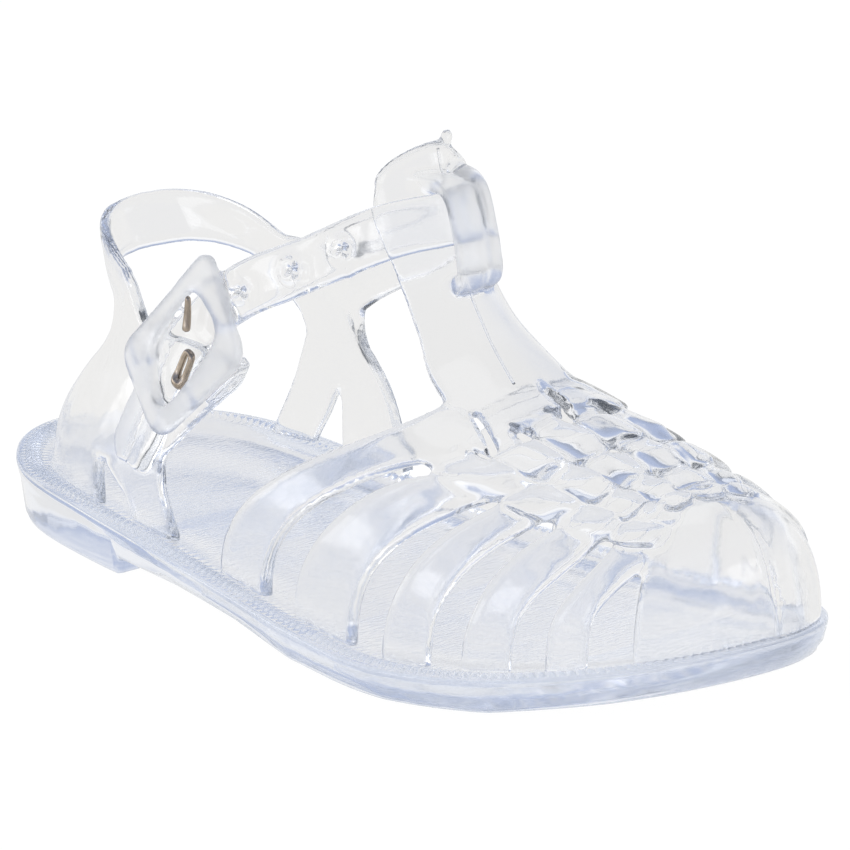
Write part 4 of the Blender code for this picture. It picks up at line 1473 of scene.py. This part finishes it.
class SANDAL_OT_stage(bpy.types.Operator):
    """Pale floor, soft light and the photograph's camera"""

    bl_idname = "sandal.stage"
    bl_label = "Stage"

    def execute(self, context):
        scene = context.scene
        self.floor(scene.sandal_stage)
        self.room(scene, scene.sandal_stage)
        self.camera(scene)
        scene.view_settings.view_transform = "Standard"
        scene.view_settings.look = "None"
        scene.cycles.max_bounces = 14
        scene.cycles.transmission_bounces = 11
        scene.cycles.glossy_bounces = 11
        scene.cycles.light_sampling_threshold = 0.05
        scene.cycles.diffuse_bounces = 3
        scene.cycles.caustics_reflective = False
        scene.cycles.caustics_refractive = False
        return {"FINISHED"}

    def floor(self, settings):
        mesh = bpy.data.meshes.new("floor")
        corners = ((-1, -1), (1, -1), (1, 1), (-1, 1))
        mesh.from_pydata([(FLOOR_HALF * x, FLOOR_HALF * y, 0.0) for x, y in corners], [], [(0, 1, 2, 3)])
        floor = bpy.data.objects.new("floor", mesh)
        bpy.context.scene.collection.objects.link(floor)
        floor.location.z = -FLOOR_GAP
        material, tree = new_material("pale_floor")
        matt = tree.node("ShaderNodeBsdfDiffuse", inputs={"Color": (*settings.floor, 1.0)})
        light = tree.node("ShaderNodeEmission", inputs={
            "Color": (*settings.floor, 1.0), "Strength": settings.glow,
        })
        seen = tree.node("ShaderNodeMixShader", inputs={0: 0.94, 1: matt, 2: light})
        paper = tree.node("ShaderNodeEmission", inputs={"Color": (*settings.paper, 1.0), "Strength": 1.0})
        straight = tree.node("ShaderNodeLightPath", out="Is Camera Ray")
        both = tree.node("ShaderNodeMixShader", inputs={0: straight, 1: paper, 2: seen})
        tree.node("ShaderNodeOutputMaterial", inputs={"Surface": both})
        mesh.materials.append(material)

    def room(self, scene, settings):
        world = bpy.data.worlds.new("room")
        scene.world = world
        world.use_nodes = True
        world.node_tree.nodes.clear()
        tree = Tree(world.node_tree)
        way = tree.node("ShaderNodeTexCoord", out="Generated")
        height = tree.node("ShaderNodeSeparateXYZ", inputs={"Vector": way}, out="Z")
        ahead = (math.sin(CAMERA_TURN), -math.cos(CAMERA_TURN), 0.0)
        dot = {"operation": "DOT_PRODUCT"}
        facing = tree.node("ShaderNodeVectorMath", dot, {0: way, 1: ahead}, out="Value")
        colour = tree.mix(tree.eased(facing, -0.1, 0.5), settings.sweep, settings.front)
        for low, high, above in ((0.1, 0.4, settings.walls), (0.45, 0.8, settings.ceiling)):
            colour = tree.mix(tree.eased(height, low, high), colour, above)
        light = tree.node("ShaderNodeBackground", inputs={"Color": colour, "Strength": 1.0})
        tree.node("ShaderNodeOutputWorld", inputs={"Surface": light})
        for name, place, wide, tall, power in SOFT_BOXES:
            lamp = bpy.data.lights.new(name, "AREA")
            lamp.shape = "RECTANGLE"
            lamp.size = wide
            lamp.size_y = tall
            lamp.energy = settings.key * power * math.pi * wide * tall
            obj = bpy.data.objects.new(name, lamp)
            scene.collection.objects.link(obj)
            self.aim(obj, place, LIT_MARK)

    def camera(self, scene):
        back = np.array((
            math.sin(CAMERA_TURN) * math.cos(CAMERA_RISE),
            -math.cos(CAMERA_TURN) * math.cos(CAMERA_RISE),
            math.sin(CAMERA_RISE),
        ))
        right = np.array((math.cos(CAMERA_TURN), math.sin(CAMERA_TURN), 0.0))
        upward = np.cross(back, right)
        eye = placed(np.array(CAMERA_MARK) + back * CAMERA_FAR)
        mark_here = placed(np.array(CAMERA_MARK) + right * CAMERA_AIM[0] + upward * CAMERA_AIM[1])
        lens = bpy.data.cameras.new("camera")
        lens.lens = CAMERA_LENS
        lens.sensor_width = 36.0
        camera = bpy.data.objects.new("camera", lens)
        scene.collection.objects.link(camera)
        self.aim(camera, eye, mark_here)
        scene.camera = camera

    def aim(self, obj, place, target):
        """Puts a lamp or the camera at a place, turned to a target."""
        obj.location = Vector(place)
        obj.rotation_euler = (Vector(target) - Vector(place)).to_track_quat("-Z", "Y").to_euler()


class SANDAL_PT_panel(bpy.types.Panel):
    """Sandal pieces and their settings"""

    bl_idname = "SANDAL_PT_panel"
    bl_label = "Clear sandal"
    bl_space_type = "VIEW_3D"
    bl_region_type = "UI"
    bl_category = "Sandal"

    def draw(self, context):
        for operator in OPERATORS:
            self.layout.operator(operator.bl_idname)
        for name in SETTINGS:
            box = self.layout.box()
            group = getattr(context.scene, name)
            for label in group.__annotations__:
                box.prop(group, label)


OPERATORS = (SANDAL_OT_sole, SANDAL_OT_vamp, SANDAL_OT_heel, SANDAL_OT_buckle, SANDAL_OT_stage)
SETTINGS = {
    "sandal_sole": SoleSizes,
    "sandal_upper": UpperSizes,
    "sandal_clear": ClearFinish,
    "sandal_steel": SteelFinish,
    "sandal_stage": StageSettings,
}


def register():
    for made in (*SETTINGS.values(), *OPERATORS, SANDAL_PT_panel):
        bpy.utils.register_class(made)
    for name, group in SETTINGS.items():
        setattr(bpy.types.Scene, name, PointerProperty(type=group))


def unregister():
    for name in SETTINGS:
        delattr(bpy.types.Scene, name)
    for made in reversed((*SETTINGS.values(), *OPERATORS, SANDAL_PT_panel)):
        bpy.utils.unregister_class(made)


def main():
    register()
    bpy.ops.sandal.sole()
    bpy.ops.sandal.vamp()
    bpy.ops.sandal.heel()
    bpy.ops.sandal.buckle()
    bpy.ops.sandal.stage()


if __name__ == "__main__":
    main()
